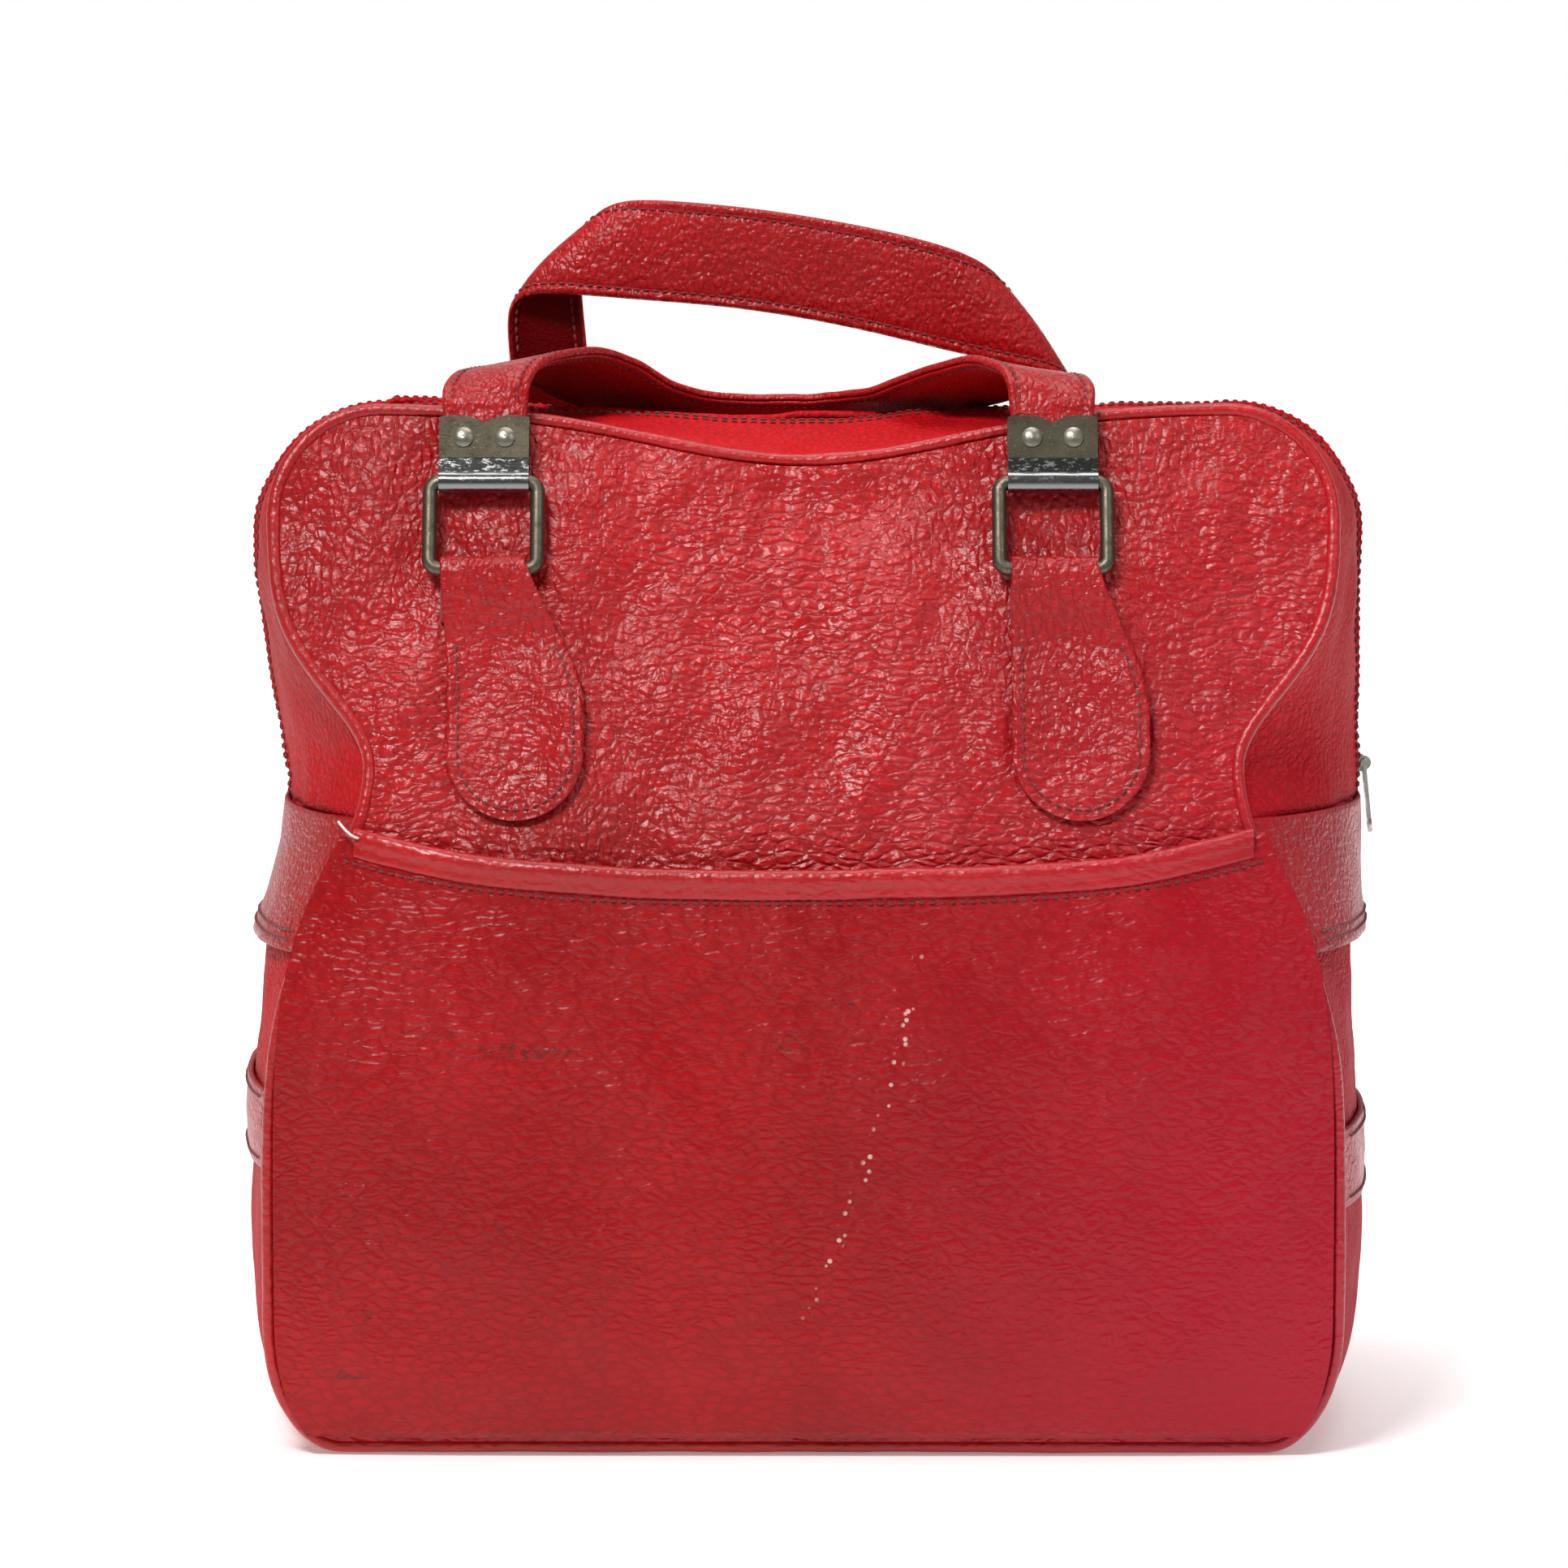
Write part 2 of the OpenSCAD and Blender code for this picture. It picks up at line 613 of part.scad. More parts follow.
COVER = [-1, -0.84, -0.6, -0.3, 0, 0.3, 0.6, 0.84, 1];
BACKING = [for (k = COVER) if (abs(k) < 1) k];

module front_ply(across, outer, inner) {
    difference() {
        ply(function(t, k, off) front_strap_point(t, k, off), len(FRONT_ROUTE) - 1, 3,
            across, outer, inner);
        rivet_holes(FRONT_X, -1);
    }
}

module rear_ply(across, outer, inner) {
    difference() {
        ply(function(t, k, off) rear_strap_point(t, k, off), len(REAR_LINE) - 1, 8,
            across, outer, inner);
        rivet_holes(REAR_X, 1);
    }
}

module handle_front_cover() {
    color(red) front_ply(COVER, 1.8, -0.45);
}

module handle_front_backing() {
    color("#d8464c") front_ply(BACKING, -0.7, -1.8);
}

module handle_rear_cover() {
    color(red) rear_ply(COVER, 1.8, -0.45);
}

module handle_rear_backing() {
    color("#d8464c") rear_ply(BACKING, -0.7, -1.8);
}

// --- Inside ---------------------------------------------------------------

board_t = 3;
module base_board() {
    color("#3b3a3a") translate([0, 0, sheet_t + 0.3]) linear_extrude(board_t)
        union() {
            square([250, 160], center = true);
            square([282, 128], center = true);
            for (sx = [-1, 1]) for (sy = [-1, 1]) translate([sx * 125, sy * 64])
                circle(r = 16, $fn = 64);
        }
}

// A moulded ring that stops the ball from rolling
cradle_r = 54.5;
cradle_tube = 9;
module ball_cradle() {
    color("#2d2c2c") translate([0, 0, sheet_t + 0.3 + board_t + 0.1]) {
        rotate_extrude($fn = 96) translate([cradle_r, 0]) difference() {
            translate([-cradle_tube, 0]) square([2 * cradle_tube, 14]);
            translate([-cradle_tube - 2, 15.5]) circle(r = 11, $fn = 64);
        }
    }
}

// --- Choice of node -------------------------------------------------------

front_panel_lower();
front_panel_upper();
back_panel();
base_gusset();
front_pocket();
pocket_binding();
zip_gusset(-1);  // zip_gusset_front
zip_gusset(1);  // zip_gusset_rear
welt_front_lower();
welt_front_upper();
welt_rear();
zip_tape(-1);  // zip_tape_front
zip_tape(1);  // zip_tape_rear
zip_coil(-1);  // zip_coil_front
zip_coil(1);  // zip_coil_rear
zip_end_stops();
zip_slider();
zip_pull();
end_flap(-1);  // end_flap_left
end_flap(1);  // end_flap_right
keeper_strap(-1, 93);  // keeper_strap_left
keeper_strap(1, 80);  // keeper_strap_right
color(red) at_ring(FRONT_X[0], -1) tab(PADDLE_SHIFT[0]);  // tab_front_left
color(red) at_ring(FRONT_X[1], -1) tab(PADDLE_SHIFT[1]);  // tab_front_right
color(red) at_ring(REAR_X[0], 1) tab(PADDLE_SHIFT[2]);  // tab_rear_left
color(red) at_ring(REAR_X[1], 1) tab(PADDLE_SHIFT[3]);  // tab_rear_right
color(nickel) at_ring(FRONT_X[0], -1) ring();  // ring_front_left
color(nickel) at_ring(FRONT_X[1], -1) ring();  // ring_front_right
color(nickel) at_ring(REAR_X[0], 1) ring();  // ring_rear_left
color(nickel) at_ring(REAR_X[1], 1) ring();  // ring_rear_right
color(nickel) at_clasp(FRONT_X[0], -1) clasp();  // clasp_front_left
color(nickel) at_clasp(FRONT_X[1], -1) clasp();  // clasp_front_right
color(nickel) at_clasp(REAR_X[0], 1) clasp();  // clasp_rear_left
color(nickel) at_clasp(REAR_X[1], 1) clasp();  // clasp_rear_right
rivets(FRONT_X, -1);  // rivets_front
rivets(REAR_X, 1);  // rivets_rear
handle_front_cover();
handle_front_backing();
handle_rear_cover();
handle_rear_backing();
base_board();
ball_cradle();
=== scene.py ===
"""A red grained-vinyl bowling ball bag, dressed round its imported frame.

Geometry is worked out in millimetres in the frame of the CAD part (front is -Y, up is +Z)
and is turned into metres when a mesh is made.
"""
import math

import bpy
import numpy as np
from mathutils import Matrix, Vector


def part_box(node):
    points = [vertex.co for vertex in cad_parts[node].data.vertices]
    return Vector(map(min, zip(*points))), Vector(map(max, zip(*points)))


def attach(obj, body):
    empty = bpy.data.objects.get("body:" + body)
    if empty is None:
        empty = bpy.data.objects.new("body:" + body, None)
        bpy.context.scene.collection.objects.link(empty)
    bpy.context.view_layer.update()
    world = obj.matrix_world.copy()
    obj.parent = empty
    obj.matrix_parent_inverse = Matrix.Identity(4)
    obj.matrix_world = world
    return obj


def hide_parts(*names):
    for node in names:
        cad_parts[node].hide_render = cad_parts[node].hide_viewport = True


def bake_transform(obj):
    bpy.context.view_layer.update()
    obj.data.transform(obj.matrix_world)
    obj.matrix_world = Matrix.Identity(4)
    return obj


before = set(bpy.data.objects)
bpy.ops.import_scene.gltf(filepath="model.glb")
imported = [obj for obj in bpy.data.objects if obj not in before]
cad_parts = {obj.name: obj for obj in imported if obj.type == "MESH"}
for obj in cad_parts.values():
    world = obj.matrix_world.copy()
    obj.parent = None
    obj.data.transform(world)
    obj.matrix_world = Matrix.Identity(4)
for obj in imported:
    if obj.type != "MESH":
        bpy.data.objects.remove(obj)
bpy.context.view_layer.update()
MM = 0.001
rng = np.random.default_rng(7)

# --- Driving dimensions, from the frame where a node's box gives them -----------------

BODY_H = 341.0                                      # top corners of the body
PANEL_HALF_W = 174.0                                # at the welts
CENTRE_HALF_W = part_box("base_gusset")[1].x / MM     # at the middle of the gusset
WAIST_Z = 209.0                                     # the fold line of the upper front half
WAIST_PINCH = 33.0
FRONT_SAG, FRONT_SAG_W = 17.0, 70.0
REAR_SAG, REAR_SAG_W = 28.0, 90.0
WELT_R = 2.3
SHEET_T = 2.2
BOTTOM_CORNER, TOP_CORNER = (23.0, 40.0), (35.0, 35.0)
CENTRE_BOTTOM, CENTRE_TOP = (31.0, 43.0), (42.0, 42.0)
ZIP_EDGE = 5.0
LEAN = math.atan(0.303)

WELT = ([0, 20, 60, 150, 209, 230, 341], [103, 107, 109, 109, 102, 95, 63])
PANEL = ([0, 20, 60, 150, 193, 209, 341], [104, 109, 113, 113, 109.5, 106, 66])
POCKET = ([0, 10, 35, 70, 120, 160, 195, 215], [106, 113, 120, 123, 123, 121, 118, 115])


def softened(table, width=9.0):
    """A table of [height, distance] as a smooth curve."""
    zs = np.arange(table[0][0] - 60.0, table[0][-1] + 60.0, 1.0)
    low = (table[1][1] - table[1][0]) / (table[0][1] - table[0][0])
    high = (table[1][-1] - table[1][-2]) / (table[0][-1] - table[0][-2])
    values = np.interp(zs, *table)
    values += np.where(zs < table[0][0], (zs - table[0][0]) * low, 0)
    values += np.where(zs > table[0][-1], (zs - table[0][-1]) * high, 0)
    kernel = np.exp(-np.square(np.arange(-24, 25) / width))
    kernel /= kernel.sum()
    smooth = np.convolve(np.pad(values, 24, mode="edge"), kernel, mode="valid")
    return lambda z: np.interp(z, zs, smooth)


welt_y = softened(WELT)
panel_y = softened(PANEL)
pocket_y = softened(POCKET)


def bump(d, s):
    return np.exp(-np.square(d / s))


def corner(h, size):
    inside = np.clip(1 - np.asarray(h, float) / size[1], 0, 1)
    return size[0] * (1 - np.sqrt(np.maximum(0, 1 - inside ** 2)))


def panel_w(z):
    z = np.clip(np.asarray(z, float), 0, BODY_H)
    spread = np.where(z > 225, 34.0, 58.0)
    return (PANEL_HALF_W - WAIST_PINCH * bump(z - 225, spread)
            - corner(z, BOTTOM_CORNER) - corner(BODY_H - z, TOP_CORNER))


# how far each end of the empty bag falls in along its middle, by height
SLACK_LEFT = ([0, 60, 120, 165, 195, 215, 240, 285, 341], [1, 2, 1.5, 5, 12, 14, 9, 2.5, 4])
# the right end keeps its place from the waist up, because the slider runs there
SLACK_RIGHT = ([0, 120, 165, 190, 341], [-1, 0, 1, 0, 0])


def fallen_in(f, z):
    return np.where(f < 0, np.interp(z, *SLACK_LEFT), np.interp(z, *SLACK_RIGHT)) * np.abs(f) ** 4


def centre_w(z):
    z = np.clip(np.asarray(z, float), 0, BODY_H)
    return CENTRE_HALF_W - corner(z, CENTRE_BOTTOM) - corner(BODY_H - z, CENTRE_TOP)


def sag_share(z):
    return np.square(np.clip((z - WAIST_Z) / (BODY_H - WAIST_Z), 0, 1))


def sagged(x, y, z):
    rear = REAR_SAG * bump(x, REAR_SAG_W)
    front = FRONT_SAG * bump(x, FRONT_SAG_W)
    return z - sag_share(z) * np.where(y > 0, rear, front)


def welt_height(z):
    return np.where(z < WAIST_Z, 3 + z * (WAIST_Z - 3) / WAIST_Z, z)


def smoothstep(a, b, x):
    t = np.clip((x - a) / (b - a), 0, 1)
    return t * t * (3 - 2 * t)


# --- Noise and folds -------------------------------------------------------------------

LATTICE = rng.uniform(-1, 1, (64, 64))


def value_noise(a, b):
    """Smooth noise from -1 to 1 over two coordinates, one cell per unit."""
    ia, ib = np.floor(a).astype(int), np.floor(b).astype(int)
    fa, fb = a - ia, b - ib
    fa, fb = fa * fa * (3 - 2 * fa), fb * fb * (3 - 2 * fb)
    ia, ib = ia % 64, ib % 64
    ja, jb = (ia + 1) % 64, (ib + 1) % 64
    low = LATTICE[ia, ib] * (1 - fb) + LATTICE[ia, jb] * fb
    high = LATTICE[ja, ib] * (1 - fb) + LATTICE[ja, jb] * fb
    return low * (1 - fa) + high * fa


def ripples(a, b, size, shift=0.0):
    """Three octaves of noise whose largest waves are size millimetres long."""
    total = 0
    for octave in range(3):
        k = 2 ** octave / size
        total = total + value_noise(a * k + shift, b * k + 17.3 * octave + shift) / 2 ** octave
    return total


def ridge(x, z, start, end, width, height):
    """A soft fold of a given height along a line."""
    (x0, z0), (x1, z1) = start, end
    length = math.hypot(x1 - x0, z1 - z0)
    ux, uz = (x1 - x0) / length, (z1 - z0) / length
    t = ((x - x0) * ux + (z - z0) * uz) / length
    off = (x - x0) * -uz + (z - z0) * ux
    near = np.clip(t, 0, 1)
    ends = bump(np.where(t < 0, -t, np.where(t > 1, t - 1, 0)) * length, width * 1.5)
    taper = np.sin(np.pi * np.clip(0.15 + 0.7 * near, 0, 1))
    return height * bump(off, width) * ends * taper


# --- Mesh making -----------------------------------------------------------------------

def make_object(name, points, faces, materials, slots=None, smooth=True):
    mesh = bpy.data.meshes.new(name)
    mesh.from_pydata((np.asarray(points, float) * MM).tolist(), [], faces)
    mesh.update()
    for material in materials:
        mesh.materials.append(material)
    if slots is not None:
        mesh.polygons.foreach_set("material_index", slots)
    mesh.polygons.foreach_set("use_smooth", [smooth] * len(mesh.polygons))
    obj = bpy.data.objects.new(name, mesh)
    bpy.context.scene.collection.objects.link(obj)
    return obj


def grid_faces(rows, cols, looped=False, flip=False, first=0):
    """Quads over a grid of points; looped joins the last column to the first."""
    i = np.arange(rows - 1)[:, None]
    j = np.arange(cols if looped else cols - 1)[None, :]
    k = (j + 1) % cols
    a, b = i * cols + j, i * cols + k
    c, d = (i + 1) * cols + k, (i + 1) * cols + j
    quads = np.stack([a, d, c, b] if flip else [a, b, c, d], axis=-1)
    return (quads.reshape(-1, 4) + first).tolist()


def normals(grid, side=1):
    """Unit normals of a grid of points, shaped rows x columns x 3."""
    du = np.gradient(grid, axis=1)
    dv = np.gradient(grid, axis=0)
    n = np.cross(du, dv)
    length = np.linalg.norm(n, axis=2, keepdims=True)
    return side * n / np.maximum(length, 1e-9)


def thicken(obj, thickness):
    """Gives a face its thickness behind it, with its own back and rim materials."""
    solid = obj.modifiers.new("Thickness", "SOLIDIFY")
    solid.thickness = thickness * MM
    solid.offset = -1
    solid.material_offset = 1
    solid.material_offset_rim = 2


def sheet_object(name, grid, thickness, outer, inner=None, rim=None, heart=(0, 0, 180)):
    """A sheet whose face is grid, looking away from heart and thickened behind it."""
    rows, cols = grid.shape[:2]
    flip = np.sum(normals(grid) * (grid - np.asarray(heart, float))) < 0
    obj = make_object(name, grid.reshape(-1, 3), grid_faces(rows, cols, flip=flip),
                      [outer, inner or outer, rim or outer])
    thicken(obj, thickness)
    return obj


def tube_points(path, radius, sides, looped=False):
    """Rings of points round a path."""
    path = np.asarray(path, float)
    if looped:
        d = np.roll(path, -1, axis=0) - np.roll(path, 1, axis=0)
    else:
        d = np.gradient(path, axis=0)
    d /= np.linalg.norm(d, axis=1, keepdims=True)
    guide = np.broadcast_to(np.array([0.0, 1.0, 0.0]), d.shape)
    u = np.cross(guide, d)
    u /= np.maximum(np.linalg.norm(u, axis=1, keepdims=True), 1e-9)
    v = np.cross(d, u)
    r = np.broadcast_to(np.asarray(radius, float), (len(path),))[:, None, None]
    angle = 2 * np.pi * np.arange(sides) / sides
    ring = (np.cos(angle)[None, :, None] * u[:, None, :]
            + np.sin(angle)[None, :, None] * v[:, None, :])
    return path[:, None, :] + r * ring


def tube_object(name, path, radius, sides, material, looped=False):
    """A round cord along a path, closed at its ends or joined into a loop."""
    rings = tube_points(path, radius, sides, looped)
    count = len(rings)
    faces = grid_faces(count, sides, looped=True)
    points = rings.reshape(-1, 3)
    if looped:
        faces += [[(count - 1) * sides + j, (count - 1) * sides + (j + 1) % sides,
                   (j + 1) % sides, j] for j in range(sides)]
    else:
        faces += [list(range(sides))[::-1], [(count - 1) * sides + j for j in range(sides)]]
    return make_object(name, points, faces, [material])


def resampled(path, step):
    """A path's points again at even steps, and how far along each lies."""
    path = np.asarray(path, float)
    run = np.concatenate([[0], np.cumsum(np.linalg.norm(np.diff(path, axis=0), axis=1))])
    count = max(2, int(round(run[-1] / step)) + 1)
    at = np.linspace(0, run[-1], count)
    return np.stack([np.interp(at, run, path[:, i]) for i in range(3)], axis=1), at


STITCH_STEP = 3.3
STITCH_LENGTH = 2.5
THREAD_R = 0.46


def stitch_rows(name, rows, material):
    """Lockstitches as short bowed threads. Each row is a path and the normals along it."""
    points, faces = [], []
    sides, rings = 6, 5
    share = np.linspace(-1, 1, rings)
    swell = THREAD_R * np.sqrt(np.maximum(0.12, 1 - share ** 4))
    lift = 0.75 * THREAD_R - 0.9 * THREAD_R * share ** 4
    angle = 2 * np.pi * np.arange(sides) / sides
    first = 0
    for path, out in rows:
        path, out = np.asarray(path, float), np.asarray(out, float)
        spots, at = resampled(path, STITCH_STEP)
        run = np.concatenate([[0], np.cumsum(np.linalg.norm(np.diff(path, axis=0), axis=1))])
        up = np.stack([np.interp(at, run, out[:, i]) for i in range(3)], axis=1)
        up /= np.maximum(np.linalg.norm(up, axis=1, keepdims=True), 1e-9)
        d = np.gradient(spots, axis=0)
        d /= np.maximum(np.linalg.norm(d, axis=1, keepdims=True), 1e-9)
        side = np.cross(d, up)
        length = STITCH_LENGTH * rng.uniform(0.9, 1.06, len(spots))
        skew = rng.uniform(-0.15, 0.15, len(spots))
        middle = (spots[:, None] + d[:, None] * (share[None, :, None] * length[:, None, None] / 2)
                  + side[:, None] * (share[None, :, None] * skew[:, None, None])
                  + up[:, None] * lift[None, :, None])
        ring = (np.cos(angle)[None, None, :, None] * side[:, None, None]
                + np.sin(angle)[None, None, :, None] * up[:, None, None])
        block = middle[:, :, None] + swell[None, :, None, None] * ring
        points.append(block.reshape(-1, 3))
        for _ in spots:
            faces += grid_faces(rings, sides, looped=True, first=first)
            faces += [[first + j for j in range(sides)],
                      [first + (rings - 1) * sides + j for j in range(sides)][::-1]]
            first += rings * sides
    return make_object(name, np.concatenate(points), faces, [material])


# --- Materials -------------------------------------------------------------------------

SOCKETS = {
    "color": "Base Color", "rough": "Roughness", "normal": "Normal", "metal": "Metallic",
    "specular": "Specular IOR Level", "sheen": "Sheen Weight",
    "glow": "Emission Color", "glow_strength": "Emission Strength",
}


class Nodes:
    """Short ways to add and link shader nodes."""

    def __init__(self, name):
        self.material = bpy.data.materials.new(name)
        self.material.use_nodes = True
        self.tree = self.material.node_tree
        self.bsdf = self.tree.nodes["Principled BSDF"]
        self.place = self.add("ShaderNodeTexCoord").outputs["Object"]

    def add(self, kind, inputs=(), **settings):
        node = self.tree.nodes.new(kind)
        for key, value in settings.items():
            setattr(node, key, value)
        for key, value in dict(inputs).items():
            self.set(node.inputs[key], value)
        return node

    def set(self, socket, value):
        if isinstance(value, bpy.types.NodeSocket):
            self.tree.links.new(value, socket)
        else:
            socket.default_value = value

    def stretched(self, scale, rotation=(0, 0, 0), warp=0.0, warp_scale=60.0):
        """Object coordinates, bent a little by noise and then scaled."""
        where = self.place
        if warp:
            noise = self.add("ShaderNodeTexNoise", {"Vector": where, "Scale": warp_scale})
            where = self.add("ShaderNodeVectorMath", {0: where, 1: self.add(
                "ShaderNodeVectorMath", {0: noise.outputs["Color"], 1: (warp,) * 3},
                operation="MULTIPLY").outputs[0]}, operation="ADD").outputs[0]
        return self.add("ShaderNodeMapping", {
            "Vector": where, "Scale": scale, "Rotation": rotation}).outputs[0]

    def noise(self, where, scale, detail=3.0, roughness=0.5):
        return self.add("ShaderNodeTexNoise", {
            "Vector": where, "Scale": scale, "Detail": detail,
            "Roughness": roughness}).outputs["Fac"]

    def cells(self, where, scale, feature="DISTANCE_TO_EDGE"):
        node = self.add("ShaderNodeTexVoronoi", {"Vector": where, "Scale": scale},
                        feature=feature)
        return node.outputs["Distance"]

    def grey(self, value, low, high, dark=0.0, light=1.0):
        """A value mapped from low..high to dark..light."""
        return self.add("ShaderNodeMapRange", {
            "Value": value, "From Min": low, "From Max": high, "To Min": dark,
            "To Max": light}).outputs["Result"]

    def math(self, operation, a, b=0.0):
        return self.add("ShaderNodeMath", {0: a, 1: b}, operation=operation).outputs[0]

    def mix(self, factor, a, b):
        node = self.add("ShaderNodeMix", data_type="RGBA")
        self.set(node.inputs["Factor"], factor)
        self.set(node.inputs["A"], a)
        self.set(node.inputs["B"], b)
        return node.outputs["Result"]

    def blended(self, factor, a, b):
        """A number between a and b."""
        return self.add("ShaderNodeMix", {"Factor": factor, "A": a, "B": b}, data_type="FLOAT").outputs[0]

    def bump(self, height, strength, distance):
        return self.add("ShaderNodeBump", {
            "Height": height, "Strength": strength, "Distance": distance}).outputs["Normal"]

    def done(self, **sockets):
        for key, value in sockets.items():
            self.set(self.bsdf.inputs[SOCKETS[key]], value)
        return self.material


RED = (0.46, 0.004, 0.006, 1)
BRIGHT_RED = (0.54, 0.012, 0.014, 1)
CRIMSON = (0.4, 0.003, 0.022, 1)


def vinyl(name, grain=1.0, pebble=520.0, marks=False, red=RED, worn=BRIGHT_RED, crease=1.0,
          gloss=0.5, waves=0.0, dull=0.0):
    """Grained vinyl: rounded pebbles and wrinkles under a satin skin, rubbed and soiled, with painted shade
    darkening the cracks between the pebbles.

    grain is the relief's depth and how dark its painted crack shade is, pebble its fineness,
    crease the lines between the pebbles, waves the broad hollows, gloss how much it mirrors
    and dull what is added to its roughness.
    """
    n = Nodes(name)
    flat = n.stretched((0.55, 0.8, 1.25), (0, -0.18, 0), warp=0.007, warp_scale=55.0)
    steep = n.stretched((1.25, 0.8, 0.6), (0, -0.55, 0), warp=0.007, warp_scale=55.0)
    apart = n.add("ShaderNodeSeparateXYZ", {0: n.place})
    patch = n.noise(n.place, 9.0, 2.0)
    turned = n.grey(n.math("ADD", patch, n.math("MULTIPLY", apart.outputs["Z"], 1.4)), 0.78, 0.98)
    lines_flat = n.grey(n.cells(flat, pebble), 0.0, 0.28)
    lines_steep = n.grey(n.cells(steep, pebble), 0.0, 0.28)
    lines = n.blended(turned, lines_flat, lines_steep)
    dome = n.grey(n.cells(n.stretched((1, 1, 1), warp=0.003, warp_scale=160.0), pebble * 1.6, "SMOOTH_F1"),
                  0.0, 0.75, 1.0, 0.0)
    folds = n.grey(n.noise(flat, pebble * 1.1, 2.0, 0.5), 0.3, 0.7)
    amount = n.grey(n.noise(n.place, 21.0, 3.0), 0.32, 0.62, 0.35, 1.0)
    height = n.math("MULTIPLY", n.math("MULTIPLY", lines, amount), 0.65 * crease)
    height = n.math("ADD", height, n.math("MULTIPLY", dome, 0.65))
    height = n.math("ADD", height, n.math("MULTIPLY", folds, 0.35))
    swell = n.noise(n.stretched((1.3, 0.8, 0.75), (0, -0.5, 0), warp=0.01, warp_scale=20.0), 27.0, 2.0, 0.4)
    height = n.math("ADD", height, n.math("MULTIPLY", swell, waves))
    shade = n.mix(n.grey(patch, 0.35, 0.65), red, tuple(0.76 * c for c in red[:3]) + (1,))
    shade = n.mix(n.grey(n.noise(n.place, 23.0, 3.0), 0.5, 0.75, 0.0, 0.35), shade, worn)
    # painted shade: the cracks between the pebbles are darkened towards a near-black red
    crack_shade = n.math("MULTIPLY", n.grey(lines, 0.0, 0.8, 1.0, 0.0), 0.38 * min(grain, 1.0))
    shade = n.mix(crack_shade, shade, (0.09, 0.001, 0.002, 1))
    # the red turns a deeper, bluer crimson towards the right and the bottom, most at the lower right
    right = n.grey(apart.outputs["X"], 0.0, 0.19)
    low = n.grey(apart.outputs["Z"], 0.34, 0.06)
    shade = n.mix(n.math("MULTIPLY", n.math("MULTIPLY", right, low), 0.85), shade, CRIMSON)
    rough = n.grey(n.noise(n.place, 40.0, 3.0), 0.3, 0.7, 0.31 + dull, 0.43 + dull)
    if marks:
        shade, rough = soiled(n, shade, rough)
    normal = n.bump(height, 1.0, 0.00055 * grain)
    return n.done(color=shade, rough=rough, normal=normal, specular=gloss)


def soiled(n, shade, rough):
    """Scuffs, ink dots and a pale scratch, placed on the front by height and width."""
    apart = n.add("ShaderNodeSeparateXYZ", {0: n.place})
    x, z = apart.outputs["X"], apart.outputs["Z"]

    def spot(cx, cz, rx, rz):
        dx = n.math("DIVIDE", n.math("SUBTRACT", x, cx), rx)
        dz = n.math("DIVIDE", n.math("SUBTRACT", z, cz), rz)
        reach = n.math("ADD", n.math("MULTIPLY", dx, dx), n.math("MULTIPLY", dz, dz))
        return n.grey(reach, 0.3, 1.0, 1.0, 0.0)

    smear = n.grey(n.noise(n.stretched((1, 1, 2.2)), 420.0, 3.0, 0.6), 0.52, 0.6)
    total = None
    for place in SCUFFS:
        mark = n.math("MULTIPLY", spot(*place), smear)
        total = mark if total is None else n.math("MAXIMUM", total, mark)
    shade = n.mix(n.math("MULTIPLY", total, 0.75), shade, (0.07, 0.012, 0.01, 1))
    # the scratch runs down and left along a shallow curve
    drop = n.math("SUBTRACT", z, SCRATCH_TOP[1])
    bend = n.math("MULTIPLY", n.math("MULTIPLY", drop, drop), -1.35)
    centre = n.math("ADD", n.math("ADD", n.math("MULTIPLY", drop, 0.16), SCRATCH_TOP[0]), bend)
    apart_by = n.math("ABSOLUTE", n.math("SUBTRACT", x, centre))
    line = n.grey(apart_by, 0.0009, 0.0026, 1.0, 0.0)
    span = n.math("MULTIPLY", n.grey(z, 0.045, 0.06), n.grey(z, 0.172, 0.16))
    dots = n.grey(n.cells(n.place, 330.0, "F1"), 0.2, 0.3, 1.0, 0.0)
    flecked = n.math("MULTIPLY", n.math("MULTIPLY", line, span), dots)
    specks = n.math("MULTIPLY", n.grey(n.cells(n.place, 21.0, "F1"), 0.02, 0.03, 1.0, 0.0),
                    n.grey(n.noise(n.place, 14.0), 0.5, 0.55))
    pale = n.math("MAXIMUM", flecked, specks)
    shade = n.mix(n.math("MULTIPLY", pale, 0.7), shade, (0.75, 0.52, 0.45, 1))
    return shade, n.math("ADD", rough, n.math("MULTIPLY", pale, 0.25))


# dark scuffs on the front, [x, z, half width, half height] in metres
SCUFFS = [(-0.093, 0.1355, 0.026, 0.0035), (-0.121, 0.141, 0.012, 0.0022), (-0.004, 0.139, 0.009, 0.0055),
          (-0.098, 0.078, 0.003, 0.003), (0.012, 0.151, 0.006, 0.002), (-0.148, 0.029, 0.012, 0.0022),
          (-0.056, 0.089, 0.004, 0.002), (-0.097, 0.041, 0.002, 0.002), (-0.141, 0.05, 0.002, 0.003)]
SCRATCH_TOP = (0.037, 0.165)


def thread(name, shade):
    n = Nodes(name)
    twist = n.add("ShaderNodeTexWave", {"Vector": n.stretched((1, 1, 1), (0.6, 0.4, 0.9)),
                                        "Scale": 900.0, "Distortion": 1.5})
    return n.done(color=shade, rough=0.62, sheen=0.2,
                  normal=n.bump(twist.outputs["Fac"], 0.5, 0.0002))


